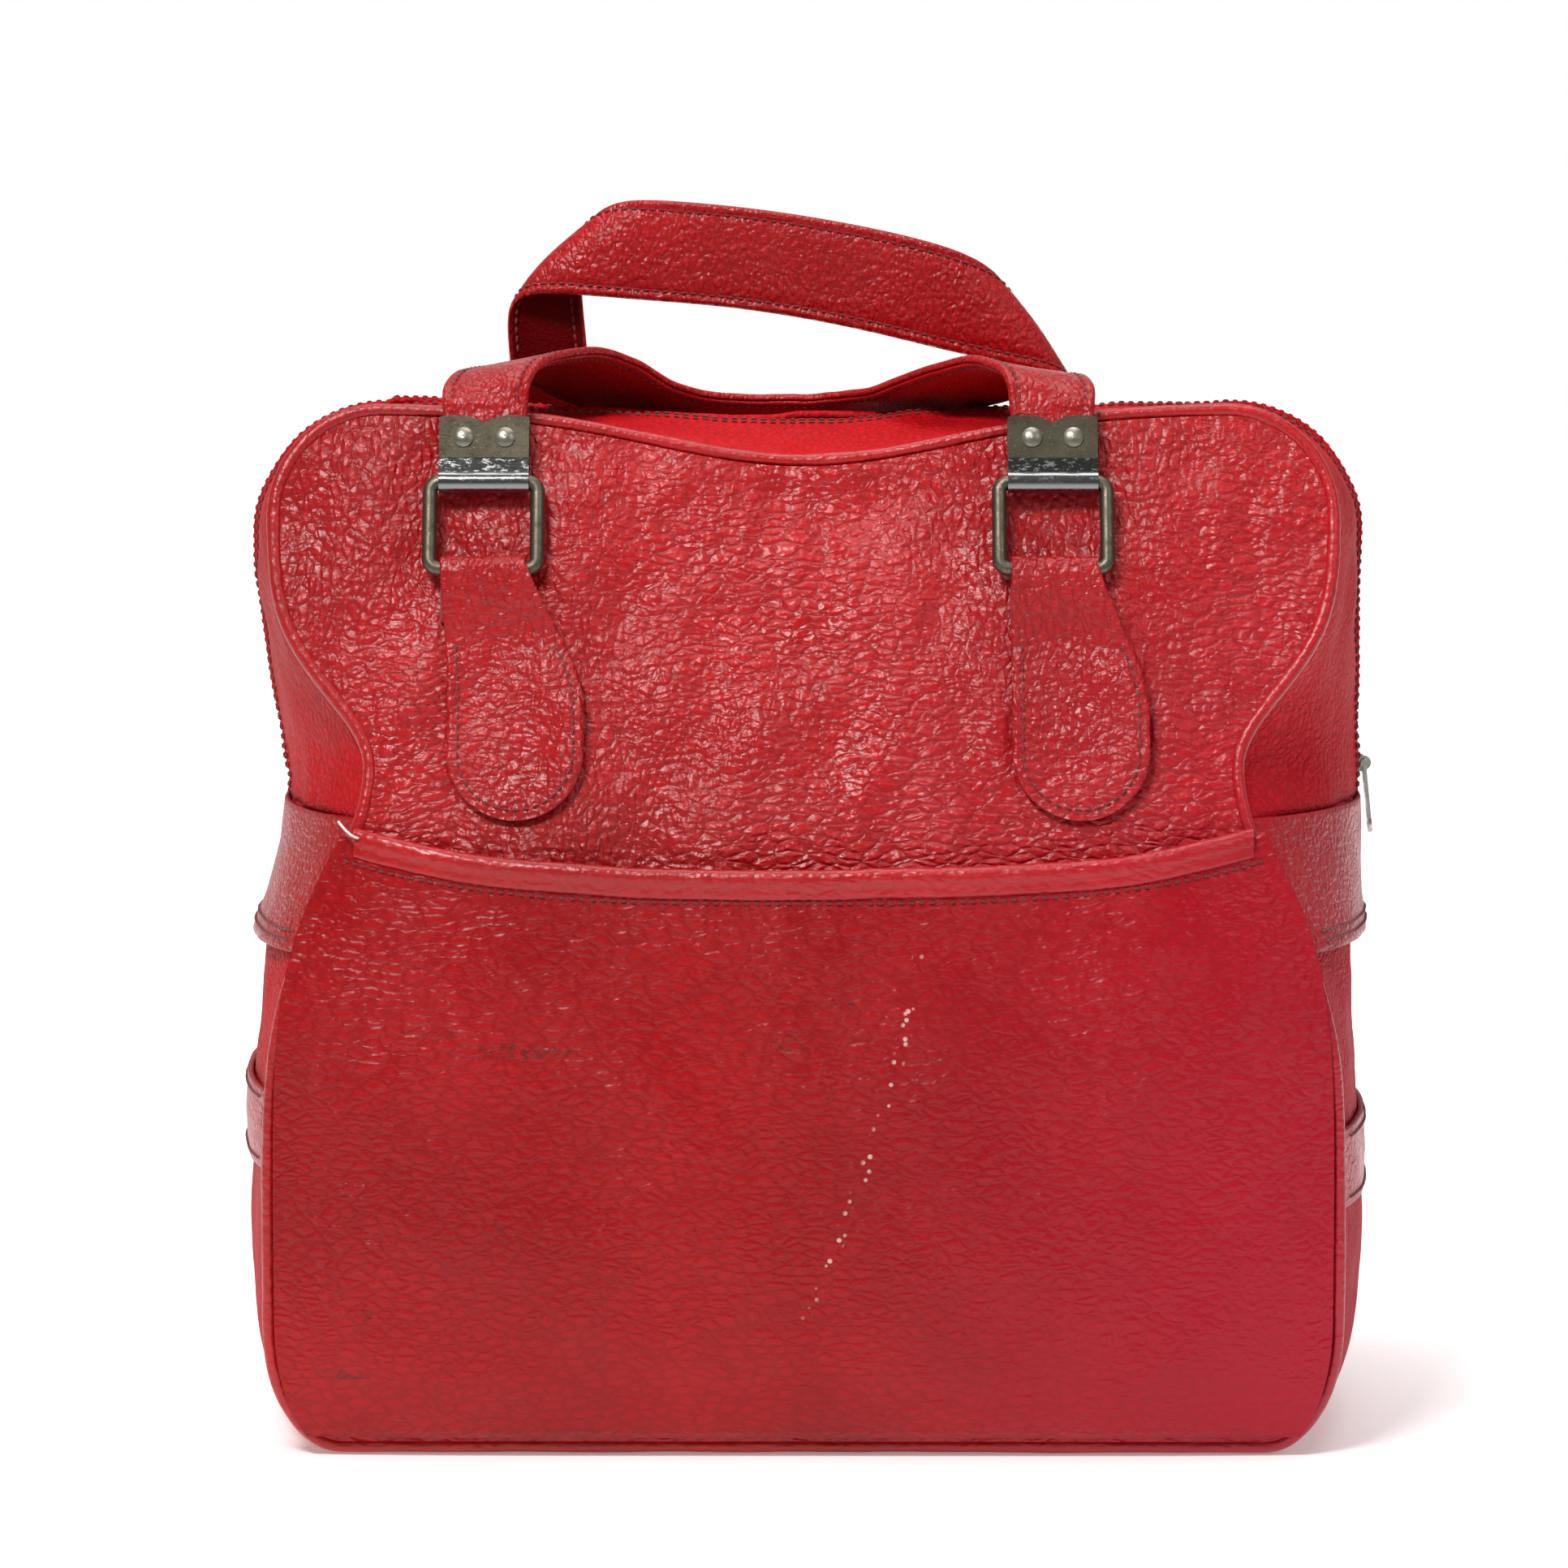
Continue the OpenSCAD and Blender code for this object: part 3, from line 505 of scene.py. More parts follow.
def woven(name, shade, dark, scale=900.0):
    """A plain weave for tapes and the sheet's backing cloth."""
    n = Nodes(name)
    warp = n.add("ShaderNodeTexWave", {"Vector": n.place, "Scale": scale}, bands_direction="X")
    weft = n.add("ShaderNodeTexWave", {"Vector": n.place, "Scale": scale}, bands_direction="Z")
    depth = n.add("ShaderNodeTexWave", {"Vector": n.place, "Scale": scale}, bands_direction="Y")
    height = n.math("ADD", n.math("MULTIPLY", warp.outputs["Fac"], weft.outputs["Fac"]),
                    n.math("MULTIPLY", depth.outputs["Fac"], 0.6))
    tone = n.mix(n.noise(n.place, 60.0, 4.0), shade, dark)
    return n.done(color=tone, rough=0.85, sheen=0.25,
                  normal=n.bump(height, 0.5, 0.0003))


def aged_metal(name, shade, stain, rough=0.34, scratch=0.3, specks=0.5):
    """Old plating: fine scratches, tarnished blotches and small pits."""
    n = Nodes(name)
    blotch = n.grey(n.noise(n.place, 240.0, 5.0, 0.6), 0.42, 0.66)
    hair = n.noise(n.stretched((1, 1, 22), (0.2, 0.9, 0.35)), 380.0, 2.0)
    pits = n.grey(n.noise(n.place, 1500.0, 2.0), 0.66, 0.72, 0.0, specks)
    tone = n.mix(blotch, shade, stain)
    tone = n.mix(pits, tone, (0.62, 0.6, 0.54, 1))
    roughness = n.math("ADD", n.grey(blotch, 0.0, 1.0, rough, rough + 0.16),
                       n.math("MULTIPLY", hair, 0.12))
    return n.done(color=tone, metal=1.0, rough=roughness,
                  normal=n.bump(hair, scratch, 0.00008))


def worn_plate():
    """The clasps: a dull speckled face above, then a scuffed band, and a bright barrel."""
    n = Nodes("clasp_metal")
    apart = n.add("ShaderNodeSeparateXYZ", {0: n.place})
    z = apart.outputs["Z"]
    face = n.grey(z, 0.3252, 0.3256)
    band = n.math("MULTIPLY", n.grey(z, 0.3208, 0.3212), n.grey(z, 0.3256, 0.3252))
    speck = n.grey(n.noise(n.place, 1300.0, 3.0, 0.7), 0.6, 0.68, 0.0, 0.5)
    blotch = n.grey(n.noise(n.place, 90.0, 4.0), 0.35, 0.7)
    dull = n.mix(blotch, (0.08, 0.07, 0.048, 1), (0.045, 0.038, 0.026, 1))
    dull = n.mix(speck, dull, (0.2, 0.19, 0.16, 1))
    scuff = n.grey(n.noise(n.stretched((1, 1, 2.5)), 420.0, 4.0, 0.7), 0.53, 0.6)
    shade = n.mix(face, (0.24, 0.24, 0.24, 1), dull)
    worn = n.mix(scuff, (0.12, 0.12, 0.115, 1), (0.38, 0.38, 0.36, 1))
    shade = n.mix(band, shade, worn)
    hair = n.noise(n.stretched((1, 1, 22), (0.2, 0.9, 0.35)), 380.0, 2.0)
    rough = n.math("ADD", n.grey(face, 0.0, 1.0, 0.16, 0.5), n.math("MULTIPLY", scuff, 0.12))
    step = n.math("ADD", n.math("MULTIPLY", hair, 0.2), n.math("MULTIPLY", face, 2.0))
    return n.done(color=shade, metal=1.0, rough=rough, normal=n.bump(step, 0.6, 0.00012))


def moulded(name, shade, rough=0.5):
    n = Nodes(name)
    grain = n.noise(n.place, 1400.0, 3.0)
    tone = n.mix(n.grey(n.noise(n.place, 35.0), 0.4, 0.6, 0.0, 0.5), shade,
                 tuple(0.6 * c for c in shade[:3]) + (1,))
    return n.done(color=tone, rough=rough, normal=n.bump(grain, 0.4, 0.0002))


VINYL_UPPER = vinyl("vinyl_upper", grain=1.4, pebble=270.0, gloss=0.4, waves=13.0)
VINYL_POCKET = vinyl("vinyl_pocket", grain=0.8, pebble=280.0, marks=True, red=(0.36, 0.003, 0.005, 1),
                     worn=(0.44, 0.008, 0.01, 1), gloss=0.26, waves=8.0)
VINYL_GUSSET = vinyl("vinyl_gusset", grain=1.0, pebble=320.0, red=(0.6, 0.004, 0.008, 1),
                     gloss=0.1, waves=9.0, dull=0.25)
VINYL_STRAP = vinyl("vinyl_strap", grain=0.9, pebble=330.0, gloss=0.35, waves=4.0)
VINYL_WELT = vinyl("vinyl_welt", grain=0.6, pebble=260.0, crease=0.6)
VINYL_TAB = vinyl("vinyl_tab", grain=1.3, pebble=280.0, gloss=0.42, waves=8.0)
LINING = vinyl("vinyl_lining", grain=0.5, pebble=600.0, red=(0.5, 0.014, 0.018, 1))
# a darker copy of the lining: painted shade for the rear strap's backing, whose legs stand in shadow
SHADOW_LINING = vinyl("vinyl_lining_painted_shade", grain=0.5, pebble=600.0, red=(0.11, 0.001, 0.002, 1),
                    worn=(0.13, 0.002, 0.003, 1), gloss=0.08)
CUT_EDGE = moulded("vinyl_cut_edge", (0.33, 0.008, 0.012, 1), 0.6)
BACKING = woven("backing_cloth", (0.3, 0.028, 0.032, 1), (0.2, 0.014, 0.018, 1))
TAPE = woven("zip_tape", (0.2, 0.012, 0.02, 1), (0.12, 0.006, 0.012, 1), 1400.0)
COIL = moulded("zip_coil", (0.11, 0.016, 0.014, 1), 0.4)
THREAD = thread("red_thread", (0.17, 0.004, 0.007, 1))
WHITE_THREAD = thread("white_thread", (0.8, 0.76, 0.7, 1))
RING_METAL = aged_metal("ring_metal", (0.155, 0.135, 0.1, 1), (0.1, 0.085, 0.06, 1))
BRIGHT_METAL = aged_metal("bright_metal", (0.6, 0.58, 0.54, 1), (0.42, 0.4, 0.36, 1), 0.22, 0.2)
RIVET_METAL = aged_metal("rivet_metal", (0.3, 0.28, 0.22, 1), (0.2, 0.18, 0.14, 1), 0.28)
PLATE_METAL = worn_plate()
BOARD = moulded("board_black", (0.05, 0.048, 0.048, 1), 0.55)


# --- Camera, lights and floor -----------------------------------------------------------

def aim(obj, target):
    obj.rotation_euler = (Vector(target) - obj.location).to_track_quat("-Z", "Y").to_euler()


def make_camera():
    data = bpy.data.cameras.new("camera")
    data.sensor_width = 36.0
    data.lens = 113.66
    data.clip_end = 20.0
    camera = bpy.data.objects.new("camera", data)
    camera.location = (0.0, -1.7, 0.36)
    aim(camera, (-0.0067, 0.0, 0.2115))
    bpy.context.scene.collection.objects.link(camera)
    bpy.context.scene.camera = camera


def area_light(name, place, target, size, power, tint=(1, 1, 1)):
    data = bpy.data.lights.new(name, "AREA")
    data.shape = "RECTANGLE"
    data.size, data.size_y = size
    data.energy = power
    data.color = tint
    light = bpy.data.objects.new(name, data)
    light.location = place
    aim(light, target)
    bpy.context.scene.collection.objects.link(light)


def floor_finish():
    """White where the bag stands, and greyer in front, where the bag would mirror it."""
    n = Nodes("floor_white")
    apart = n.add("ShaderNodeSeparateXYZ", {0: n.place})
    shade = n.mix(n.grey(apart.outputs["Y"], -1.3, -0.45), (0.4, 0.4, 0.4, 1), (0.98, 0.98, 0.98, 1))
    glow = n.grey(apart.outputs["Y"], -0.35, 0.9, 0.04, 1.0)
    return n.done(color=shade, rough=0.8, glow=(1, 1, 1, 1), glow_strength=glow)


FLOOR_REACH = 9000


def make_studio():
    """Soft lights over the bag, in a room that is brightest behind it."""
    scene = bpy.context.scene
    scene.view_settings.view_transform = "Standard"
    world = bpy.data.worlds.new("studio")
    world.use_nodes = True
    tree = world.node_tree
    where = tree.nodes.new("ShaderNodeTexCoord").outputs["Generated"]
    apart = tree.nodes.new("ShaderNodeSeparateXYZ")
    tree.links.new(where, apart.inputs[0])
    strength = tree.nodes.new("ShaderNodeValToRGB")
    tree.links.new(apart.outputs["Y"], strength.inputs["Fac"])
    ramp = strength.color_ramp
    while len(ramp.elements) < 4:
        ramp.elements.new(0.5)
    # the Y of a direction, below 0 in front of the bag, and how bright the studio is there
    for element, (at, level) in zip(ramp.elements, ((0.0, 0.2), (0.3, 0.3), (0.85, 0.5), (0.97, 1.0))):
        element.position = at
        element.color = (level, level, level, 1)
    background = tree.nodes["Background"]
    tree.links.new(strength.outputs["Color"], background.inputs["Color"])
    background.inputs["Strength"].default_value = 1.0
    scene.world = world
    middle = (0.0, 0.0, 0.2)
    area_light("key", (-0.6, -1.25, 1.65), middle, (0.6, 0.36), 33.0)
    area_light("fill", (1.3, -1.3, 1.3), middle, (0.8, 0.6), 5.0)
    area_light("top", (0.1, 0.15, 1.9), middle, (1.6, 0.8), 16.0)
    corners = [(-FLOOR_REACH, -FLOOR_REACH, 0), (FLOOR_REACH, -FLOOR_REACH, 0),
               (FLOOR_REACH, FLOOR_REACH, 0), (-FLOOR_REACH, FLOOR_REACH, 0)]
    floor = make_object("floor", corners, [[0, 1, 2, 3]], [floor_finish()])


make_camera()
make_studio()


# --- Shape of the body -------------------------------------------------------------------

def gusset_point(f, z, y, off=0.0):
    """A point of the gusset: f across the width, z up, y in depth, off below its face."""
    f, z, y = np.broadcast_arrays(np.asarray(f, float), np.asarray(z, float), np.asarray(y, float))
    t = np.clip(1 - np.abs(y) / welt_y(z), 0, 1)
    level = np.where(z < CENTRE_BOTTOM[1], np.minimum(1, t / 0.2), t)
    xa, xc = f * panel_w(z), f * (centre_w(z) - fallen_in(f, z))
    welt_z = sagged(xa, y, welt_height(z))
    mid_z = z - 3 * bump(xc, FRONT_SAG_W) * sag_share(z)
    c = np.where(z < CENTRE_BOTTOM[1], 1 - z / CENTRE_BOTTOM[1],
                 np.where(z > BODY_H - CENTRE_TOP[1], (BODY_H - z) / CENTRE_TOP[1] - 1, 0))
    s = np.sqrt(np.maximum(0, 1 - c * c))
    return np.stack([
        xa + (xc - xa) * (1 - (1 - t) ** 2) - np.sign(f) * s * off,
        y,
        welt_z + (mid_z - welt_z) * level + c * off], axis=-1)


def arc_levels(size, step=3.0):
    return size * (1 - np.cos(np.radians(np.arange(0, 90.1, step))))


def low_levels(top, step=3.0):
    """Heights from the floor up to top."""
    straight = np.arange(CENTRE_BOTTOM[1] + step, top, step)
    return np.concatenate([arc_levels(CENTRE_BOTTOM[1]), straight, [top]])


def high_levels(foot, step=3.0):
    """Heights from foot up to the top of the body."""
    arc = BODY_H - arc_levels(CENTRE_TOP[1])[::-1]
    return np.concatenate([np.arange(foot, arc[0] - step / 2, step), arc])


def low_loop(top):
    """Stations (f, z) down the left end, under the base and up the right end."""
    zs = low_levels(top)
    across = np.linspace(-1, 1, 97)[1:-1]
    return np.concatenate([np.stack([-np.ones_like(zs), zs[::-1]], 1),
                           np.stack([across, 0 * across], 1),
                           np.stack([np.ones_like(zs), zs], 1)])


def high_loop(foot):
    """Stations (f, z) up the left end, over the top and down the right end."""
    zs = high_levels(foot)
    across = np.linspace(-1, 1, 121)[1:-1]
    return np.concatenate([np.stack([-np.ones_like(zs), zs], 1),
                           np.stack([across, 0 * across + BODY_H], 1),
                           np.stack([np.ones_like(zs), zs[::-1]], 1)])


def crown(u):
    return 1 - np.abs(u) ** 6


def row_end(z):
    """Half width and height of a panel's row at level z, just inside the welt."""
    low, high = np.maximum(0, z - 0.4), np.minimum(BODY_H, z + 0.4)
    run = np.stack([panel_w(high) - panel_w(low), high - low], -1)
    run /= np.linalg.norm(run, axis=-1, keepdims=True)
    tuck = 1.7
    return panel_w(z) - tuck * run[..., 1], welt_height(z) + tuck * run[..., 0]


def front_folds(x, z):
    """How far the upper front panel's creases and hollows stand out."""
    out = ridge(x, z, (6, 322), (10, 292), 5, -1.6)
    out = out + ridge(x, z, (-30, 318), (45, 318), 16, -2.4)
    out = out + ridge(x, z, (-62, 300), (-40, 250), 9, -1.2)
    out = out + ridge(x, z, (45, 296), (60, 262), 8, -1.3)
    out = out + ridge(x, z, (-136, 222), (-96, 262), 7, -2.2)
    out = out + ridge(x, z, (-140, 232), (-118, 272), 6, 1.6)
    out = out + ridge(x, z, (134, 224), (112, 262), 7, -2.0)
    out = out + ridge(x, z, (142, 236), (128, 268), 6, 1.4)
    out = out + ridge(x, z, (-20, 214), (-5, 262), 14, 1.4)
    out = out + ridge(x, z, (30, 212), (44, 250), 12, 1.2)
    out = out + ridge(x, z, (-146, 306), (-118, 326), 10, -1.2)
    out = out + ridge(x, z, (148, 312), (120, 328), 10, -1.2)
    return out


def face_y(x, z, profile, edge_up):
    """Distance from the middle plane of a crowned face at a place."""
    u = np.clip(np.abs(x) / panel_w(z), 0, 1)
    edge = welt_y(z) + edge_up
    return edge + (profile(z) - edge) * crown(u)


def front_y(x, z):
    """The front panel's face, as a distance from the middle plane."""
    inner = np.clip(1 - (np.abs(x) / panel_w(z)) ** 4, 0, 1)
    upper = smoothstep(205, 232, z) * smoothstep(BODY_H, BODY_H - 14, z)
    soft = 0.9 * ripples(x, z, 46.0) + 0.35 * ripples(z, x, 17.0, 5.0)
    slanted = ripples(0.8 * x + 0.6 * z, 0.35 * (0.8 * z - 0.6 * x), 9.0, 13.0)
    soft = soft + 0.28 * slanted * (0.5 + 0.5 * value_noise(x / 50, z / 50))
    return face_y(x, z, panel_y, 1.0) + inner * upper * (front_folds(x, z) + soft)


def back_y(x, z):
    inner = np.clip(1 - (np.abs(x) / panel_w(z)) ** 4, 0, 1)
    soft = 1.3 * ripples(x, z, 60.0, 31.0) + 0.35 * ripples(z, x, 18.0, 9.0)
    dents = ridge(x, z, (-70, 120), (60, 150), 40, -1.5) + ridge(x, z, (20, 322), (-16, 288), 12, -1.8)
    ends = smoothstep(4, 26, z) * smoothstep(BODY_H, BODY_H - 16, z)
    return face_y(x, z, panel_y, 1.0) + inner * ends * (soft + dents)


def body_levels():
    return np.concatenate([low_levels(WAIST_Z - 3, 2.2), high_levels(WAIST_Z, 2.2)])


def panel_grid(side, surface, columns=171):
    zs = body_levels()
    half_w, height = row_end(zs)
    u = np.sin(np.linspace(-1, 1, columns) * math.pi / 2 * 0.94) / math.sin(math.pi / 2 * 0.94)
    x = u[None, :] * half_w[:, None]
    z_row = np.broadcast_to(height[:, None], x.shape)
    z = sagged(x, side, np.broadcast_to(zs[:, None], x.shape)) + (height - zs)[:, None]
    return np.stack([x, side * surface(x, z_row), z], -1)


def hinge_blend(obj):
    """Fabric that crosses the fold at the waist has its placing baked into its mesh."""
    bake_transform(obj)


def ride_half(obj, side):
    """The front half, side -1, has its placing baked into its mesh. The rear half stays on the bag."""
    if side < 0:
        hinge_blend(obj)
    else:
        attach(obj, "bag")


def make_panels():
    front = sheet_object("front_panel", panel_grid(-1, front_y), SHEET_T, VINYL_UPPER, BACKING)
    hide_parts("front_panel_lower", "front_panel_upper")
    hinge_blend(front)
    back = sheet_object("rear_panel", panel_grid(1, back_y), SHEET_T, VINYL_UPPER, BACKING)
    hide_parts("back_panel")
    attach(back, "bag")


STITCHES = {"bag": [], "front_flap": [], "front_handle": [], "rear_handle": []}


# --- Gusset, piping and zip ----------------------------------------------------------

def spread_out(points, out):
    """Each point with its outward direction, for a row of stitches."""
    n = np.asarray(out) - np.asarray(points)
    return points, n / np.maximum(np.linalg.norm(n, axis=-1, keepdims=True), 1e-9)


def slack(f, z, y, size, seed):
    """Waves of slack vinyl on the gusset, flat at its seams."""
    w = welt_y(z)
    loose = np.clip(1 - (np.abs(y) / w) ** 6, 0, 1)
    along = np.where(np.abs(f) < 1, f * PANEL_HALF_W, 200 + z)
    return loose * (size * ripples(along, y, 48.0, seed) + 0.3 * size * ripples(y, along, 15.0, seed + 3))


def hem_rise(side, f, z, gap):
    """How far the doubled edge by the zip stands up. The resting front strap presses the rear one."""
    pressed = 3.2 * bump(f * PANEL_HALF_W - 57, 13) * (z > 300)
    return (2.6 - pressed if side > 0 else 0.9) * smoothstep(9, 2.5, gap)


def make_gussets():
    low = low_loop(WAIST_Z)
    f, z = low[:, :1], low[:, 1:]
    y = np.sin(np.linspace(-1, 1, 61) * 1.4)[None, :] / math.sin(1.4) * (welt_y(z) - 1.7)
    side = smoothstep(20, 60, z)
    dent = 2.2 * bump(z - 128, 34) * bump(y - 10, 60) - 1.4 * bump(z - 70, 22) * bump(y + 20, 50)
    base = sheet_object("base_gusset_skin", gusset_point(
        f, z, y, side * (dent - slack(f, z, y, 1.1, 2.0))), SHEET_T, VINYL_GUSSET, BACKING)
    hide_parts("base_gusset")
    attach(base, "bag")
    high = high_loop(WAIST_Z)
    f, z = high[:, :1], high[:, 1:]
    share = np.sin(np.linspace(0, 1, 34) * 1.45)[None, :] / math.sin(1.45)
    for side, node in ((-1, "zip_gusset_front"), (1, "zip_gusset_rear")):
        y = side * (ZIP_EDGE + share * (welt_y(z) - 1.7 - ZIP_EDGE))
        hem = hem_rise(side, f, z, np.abs(y) - ZIP_EDGE)
        off = -hem - slack(f, z, y, 1.2, 5.0 + side)
        off = off + (1.9 * bump(f * PANEL_HALF_W, 4.5) * bump(np.abs(y) - 48, 16) * (z > 300))
        skin = sheet_object(node + "_skin", gusset_point(f, z, y, off), SHEET_T,
                            VINYL_GUSSET, BACKING)
        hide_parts(node)
        ride_half(skin, side)
        rows = STITCHES["front_flap" if side < 0 else "bag"]
        for gap in (2.6, 5.4):
            yy = side * (ZIP_EDGE + gap)
            hem = hem_rise(side, high[:, 0], high[:, 1], gap)
            top = -hem - slack(high[:, 0], high[:, 1], yy, 1.2, 5.0 + side)
            rows.append(spread_out(gusset_point(high[:, 0], high[:, 1], yy, top),
                                   gusset_point(high[:, 0], high[:, 1], yy, top - 1)))


def closed_loop():
    """Stations right round the body, for a welt."""
    low, high = low_loop(WAIST_Z), high_loop(WAIST_Z)[::-1]
    return np.concatenate([low, high[1:-1]])


def make_piping():
    loop = closed_loop()
    for side, name, nodes in ((-1, "front_piping", ("welt_front_lower", "welt_front_upper")),
                              (1, "rear_piping", ("welt_rear",))):
        path = gusset_point(loop[:, 0], loop[:, 1], side * welt_y(loop[:, 1]))
        # the cord lies a little unevenly along its seam
        wobble = 0.18 * ripples(np.arange(len(path)) * 3.0, 0 * path[:, 0], 24.0, side * 2.0)
        cord = tube_object(name, path, WELT_R + wobble, 14, VINYL_WELT, looped=True)
        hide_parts(*nodes)
        ride_half(cord, side)


TAPE_DEPTH = 3.2
COIL_PITCH = 1.6


def make_zip():
    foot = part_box("zip_coil_front")[0].z / MM
    high = high_loop(foot)
    f, z = high[:, :1], high[:, 1:]
    for side, half in ((-1, "front"), (1, "rear")):
        y = side * np.linspace(1.4, 13, 8)[None, :]
        tape = sheet_object("zip_tape_" + half + "_weave", gusset_point(f, z, y, TAPE_DEPTH), 0.7, TAPE)
        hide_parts("zip_tape_" + half)
        line, _ = resampled(gusset_point(high[:, 0], high[:, 1], side * 1.7, 2.3), COIL_PITCH / 10)
        up, _ = resampled(gusset_point(high[:, 0], high[:, 1], side * 1.7, 1.3), COIL_PITCH / 10)
        count = min(len(line), len(up))
        out = up[:count] - line[:count]
        turn = 2 * np.pi * np.arange(count) / 10
        coil = line[:count] + 0.9 * np.cos(turn)[:, None] * np.array([0, side, 0]) + \
            0.75 * np.sin(turn)[:, None] * out
        teeth = tube_object("zip_coil_" + half + "_teeth", coil, 0.36, 4, COIL)
        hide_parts("zip_coil_" + half)
        for obj in (tape, teeth):
            ride_half(obj, side)
    make_end_stops()


def make_end_stops():
    """A small clamp bent round both coils at each lower end of the zip."""
    points, faces = [], []
    for f in (-1, 1):
        ends = gusset_point(f, np.array([[WAIST_Z + 0.4], [WAIST_Z + 2.4]]), 0.0, 0.0)[:, 0]
        bend = np.radians(np.linspace(-60, 240, 15))
        outline = np.stack([0.9 * np.sin(bend) - 1.6, 2.4 * np.cos(bend)], -1)
        outline = np.concatenate([outline, 0.62 * (outline + [1.6, 0])[::-1] - [1.6, 0]])
        first, count = len(points), len(outline)
        for end in ends:
            points += [[end[0] + f * a, b, end[2]] for a, b in outline]
        faces += [[first + i, first + (i + 1) % count, first + count + (i + 1) % count,
                   first + count + i] for i in range(count)]
        half = count // 2
        for base in (first, first + count):
            faces += [[base + i, base + i + 1, base + count - 2 - i, base + count - 1 - i]
                      for i in range(half - 1)]
    stops = make_object("zip_end_clamps", points, faces, [BRIGHT_METAL], smooth=False)
    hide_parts("zip_end_stops")
    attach(stops, "bag")


# --- Pocket ------------------------------------------------------------------------------

def mouth_z(x):
    return 192 + 11 * (np.abs(x) / 140) ** 3


def pocket_face(x, z):
    """The pocket's face, as a distance from the middle plane."""
    u = np.clip(np.abs(x) / panel_w(z), 0, 1)
    edge = welt_y(z) + 3.2
    inner = np.clip(1 - u ** 4, 0, 1) * smoothstep(6, 26, z)
    folds = 1.0 * ripples(x, z, 70.0, 11.0) + 0.22 * ripples(z, x, 19.0, 7.0)
    folds = folds + ridge(x, z, (-120, 60), (-60, 160), 26, -1.4)
    folds = folds + ridge(x, z, (70, 40), (120, 120), 30, -1.2)
    folds = folds + ridge(x, z, (-135, 30), (-70, 22), 7, 1.2) + ridge(x, z, (142, 48), (96, 20), 8, 1.1)
    folds = folds + ridge(x, z, (-150, 120), (-110, 96), 6, 0.7) + ridge(x, z, (-152, 92), (-118, 70), 5, 0.6)
    return edge + (pocket_y(z) - edge) * crown(u) + inner * folds


def pocket_place(u, share, off=0.0):
    z0 = 7 + share * 183
    x = u * (panel_w(z0) - 1.9)
    z = 7 + share * (mouth_z(x) - 7)
    return np.stack([x, -(pocket_face(x, z) + off), z + 0 * x], -1)


# the rolled edge over the mouth: how far out of the pocket's face, how far above its top
ROLL = [(-2.6, -5.0), (-2.8, -0.8), (-2.4, 0.9), (-1.2, 2.0), (0.3, 2.3), (1.6, 1.6), (2.4, 0.3), (2.5, -1.3),
        (2.0, -2.7), (1.5, -3.8), (1.3, -5.0), (1.2, -6.2), (0.9, -7.0), (0.3, -7.5), (-0.4, -7.7)]


def make_pocket():
    u = np.sin(np.linspace(-1, 1, 171) * 1.45)[None, :] / math.sin(1.45)
    share = np.linspace(0, 1, 104)[:, None] ** 0.92
    pocket = sheet_object("pocket_face", pocket_place(u, share), SHEET_T, VINYL_POCKET, BACKING)
    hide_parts("front_pocket")
    u = np.linspace(-0.975, 0.975, 190)[:, None]
    roll = np.repeat(np.array(ROLL)[None], len(u), axis=0)
    top = pocket_place(u, np.ones_like(u) * 1.0)
    wave = 0.35 * ripples(top[..., 0], 0 * u, 26.0, 4.0)
    x = np.broadcast_to(top[..., 0], roll.shape[:2])
    z = top[..., 2] + roll[..., 1]
    y = -(pocket_face(x, np.minimum(z, mouth_z(x))) + roll[..., 0] * (1 + 0.2 * wave))
    grid = np.stack([x, y, z + wave], -1)
    binding = make_object("pocket_rolled_edge", grid.reshape(-1, 3),
                          grid_faces(*grid.shape[:2]), [VINYL_WELT])
    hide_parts("pocket_binding")
    for obj in (pocket, binding):
        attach(obj, "bag")
    along = np.linspace(-0.965, 0.965, 160)
    drop = 1 - 8.6 / 185
    STITCHES["bag"].append(spread_out(pocket_place(along, drop + 0 * along, 0.1),
                                      pocket_place(along, drop + 0 * along, 1.1)))


# --- End flaps and keeper straps -----------------------------------------------------------

FLAP_FOOT = 165
FLAP_LIFT = ([165, 168, 171, 177, 189, 199, 209], [2.6, 2.2, 1.8, 1.0, 0.4, 0.2, 0])
KEEPER_W = 26
KEEPER_FOOT = {"left": 93, "right": 80}


def band_wave(kind, f, z, k, high):
    """How a band buckles a little along itself."""
    if kind == "flap":
        return 0.6 * ripples(z, k * 90, 34.0, 8.0 + f) * smoothstep(high, high - 14, z)
    return 0.35 * ripples(z, k * 90, 30.0, f)


def band_face(f, z, k, lifts, more):
    """A point of a band's face: k from -1 to 1 round the end, more out of its plain shape."""
    y = k * (welt_y(z) - 1.6)
    up = np.interp(z, *lifts)
    return gusset_point(f, z, y, -(2.3 * (1 - 0.8 * k ** 12) + more + up * (1 - k ** 6)))


def make_band(kind, node, f, low, high, lifts, hems):
    """One band round an end of the bag, with a row of stitches at each of its hems."""
    z = np.linspace(low, high, 26)[:, None]
    k = np.sin(np.linspace(-1, 1, 71) * 1.4)[None, :] / math.sin(1.4)
    grid = band_face(f, z, k, lifts, band_wave(kind, f, z, k, high))
    name = kind + "_skin_" + node.rsplit("_", 1)[1]
    band = sheet_object(name, grid, 1.8, VINYL_STRAP, LINING, CUT_EDGE)
    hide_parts(node)
    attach(band, "bag")
    across = np.linspace(-0.9, 0.9, 60)
    for hem in hems:
        zz = low + hem + 0 * across
        more = band_wave(kind, f, zz, across, high)
        STITCHES["bag"].append(spread_out(band_face(f, zz, across, lifts, more + 0.05),
                                          band_face(f, zz, across, lifts, more + 1.05)))


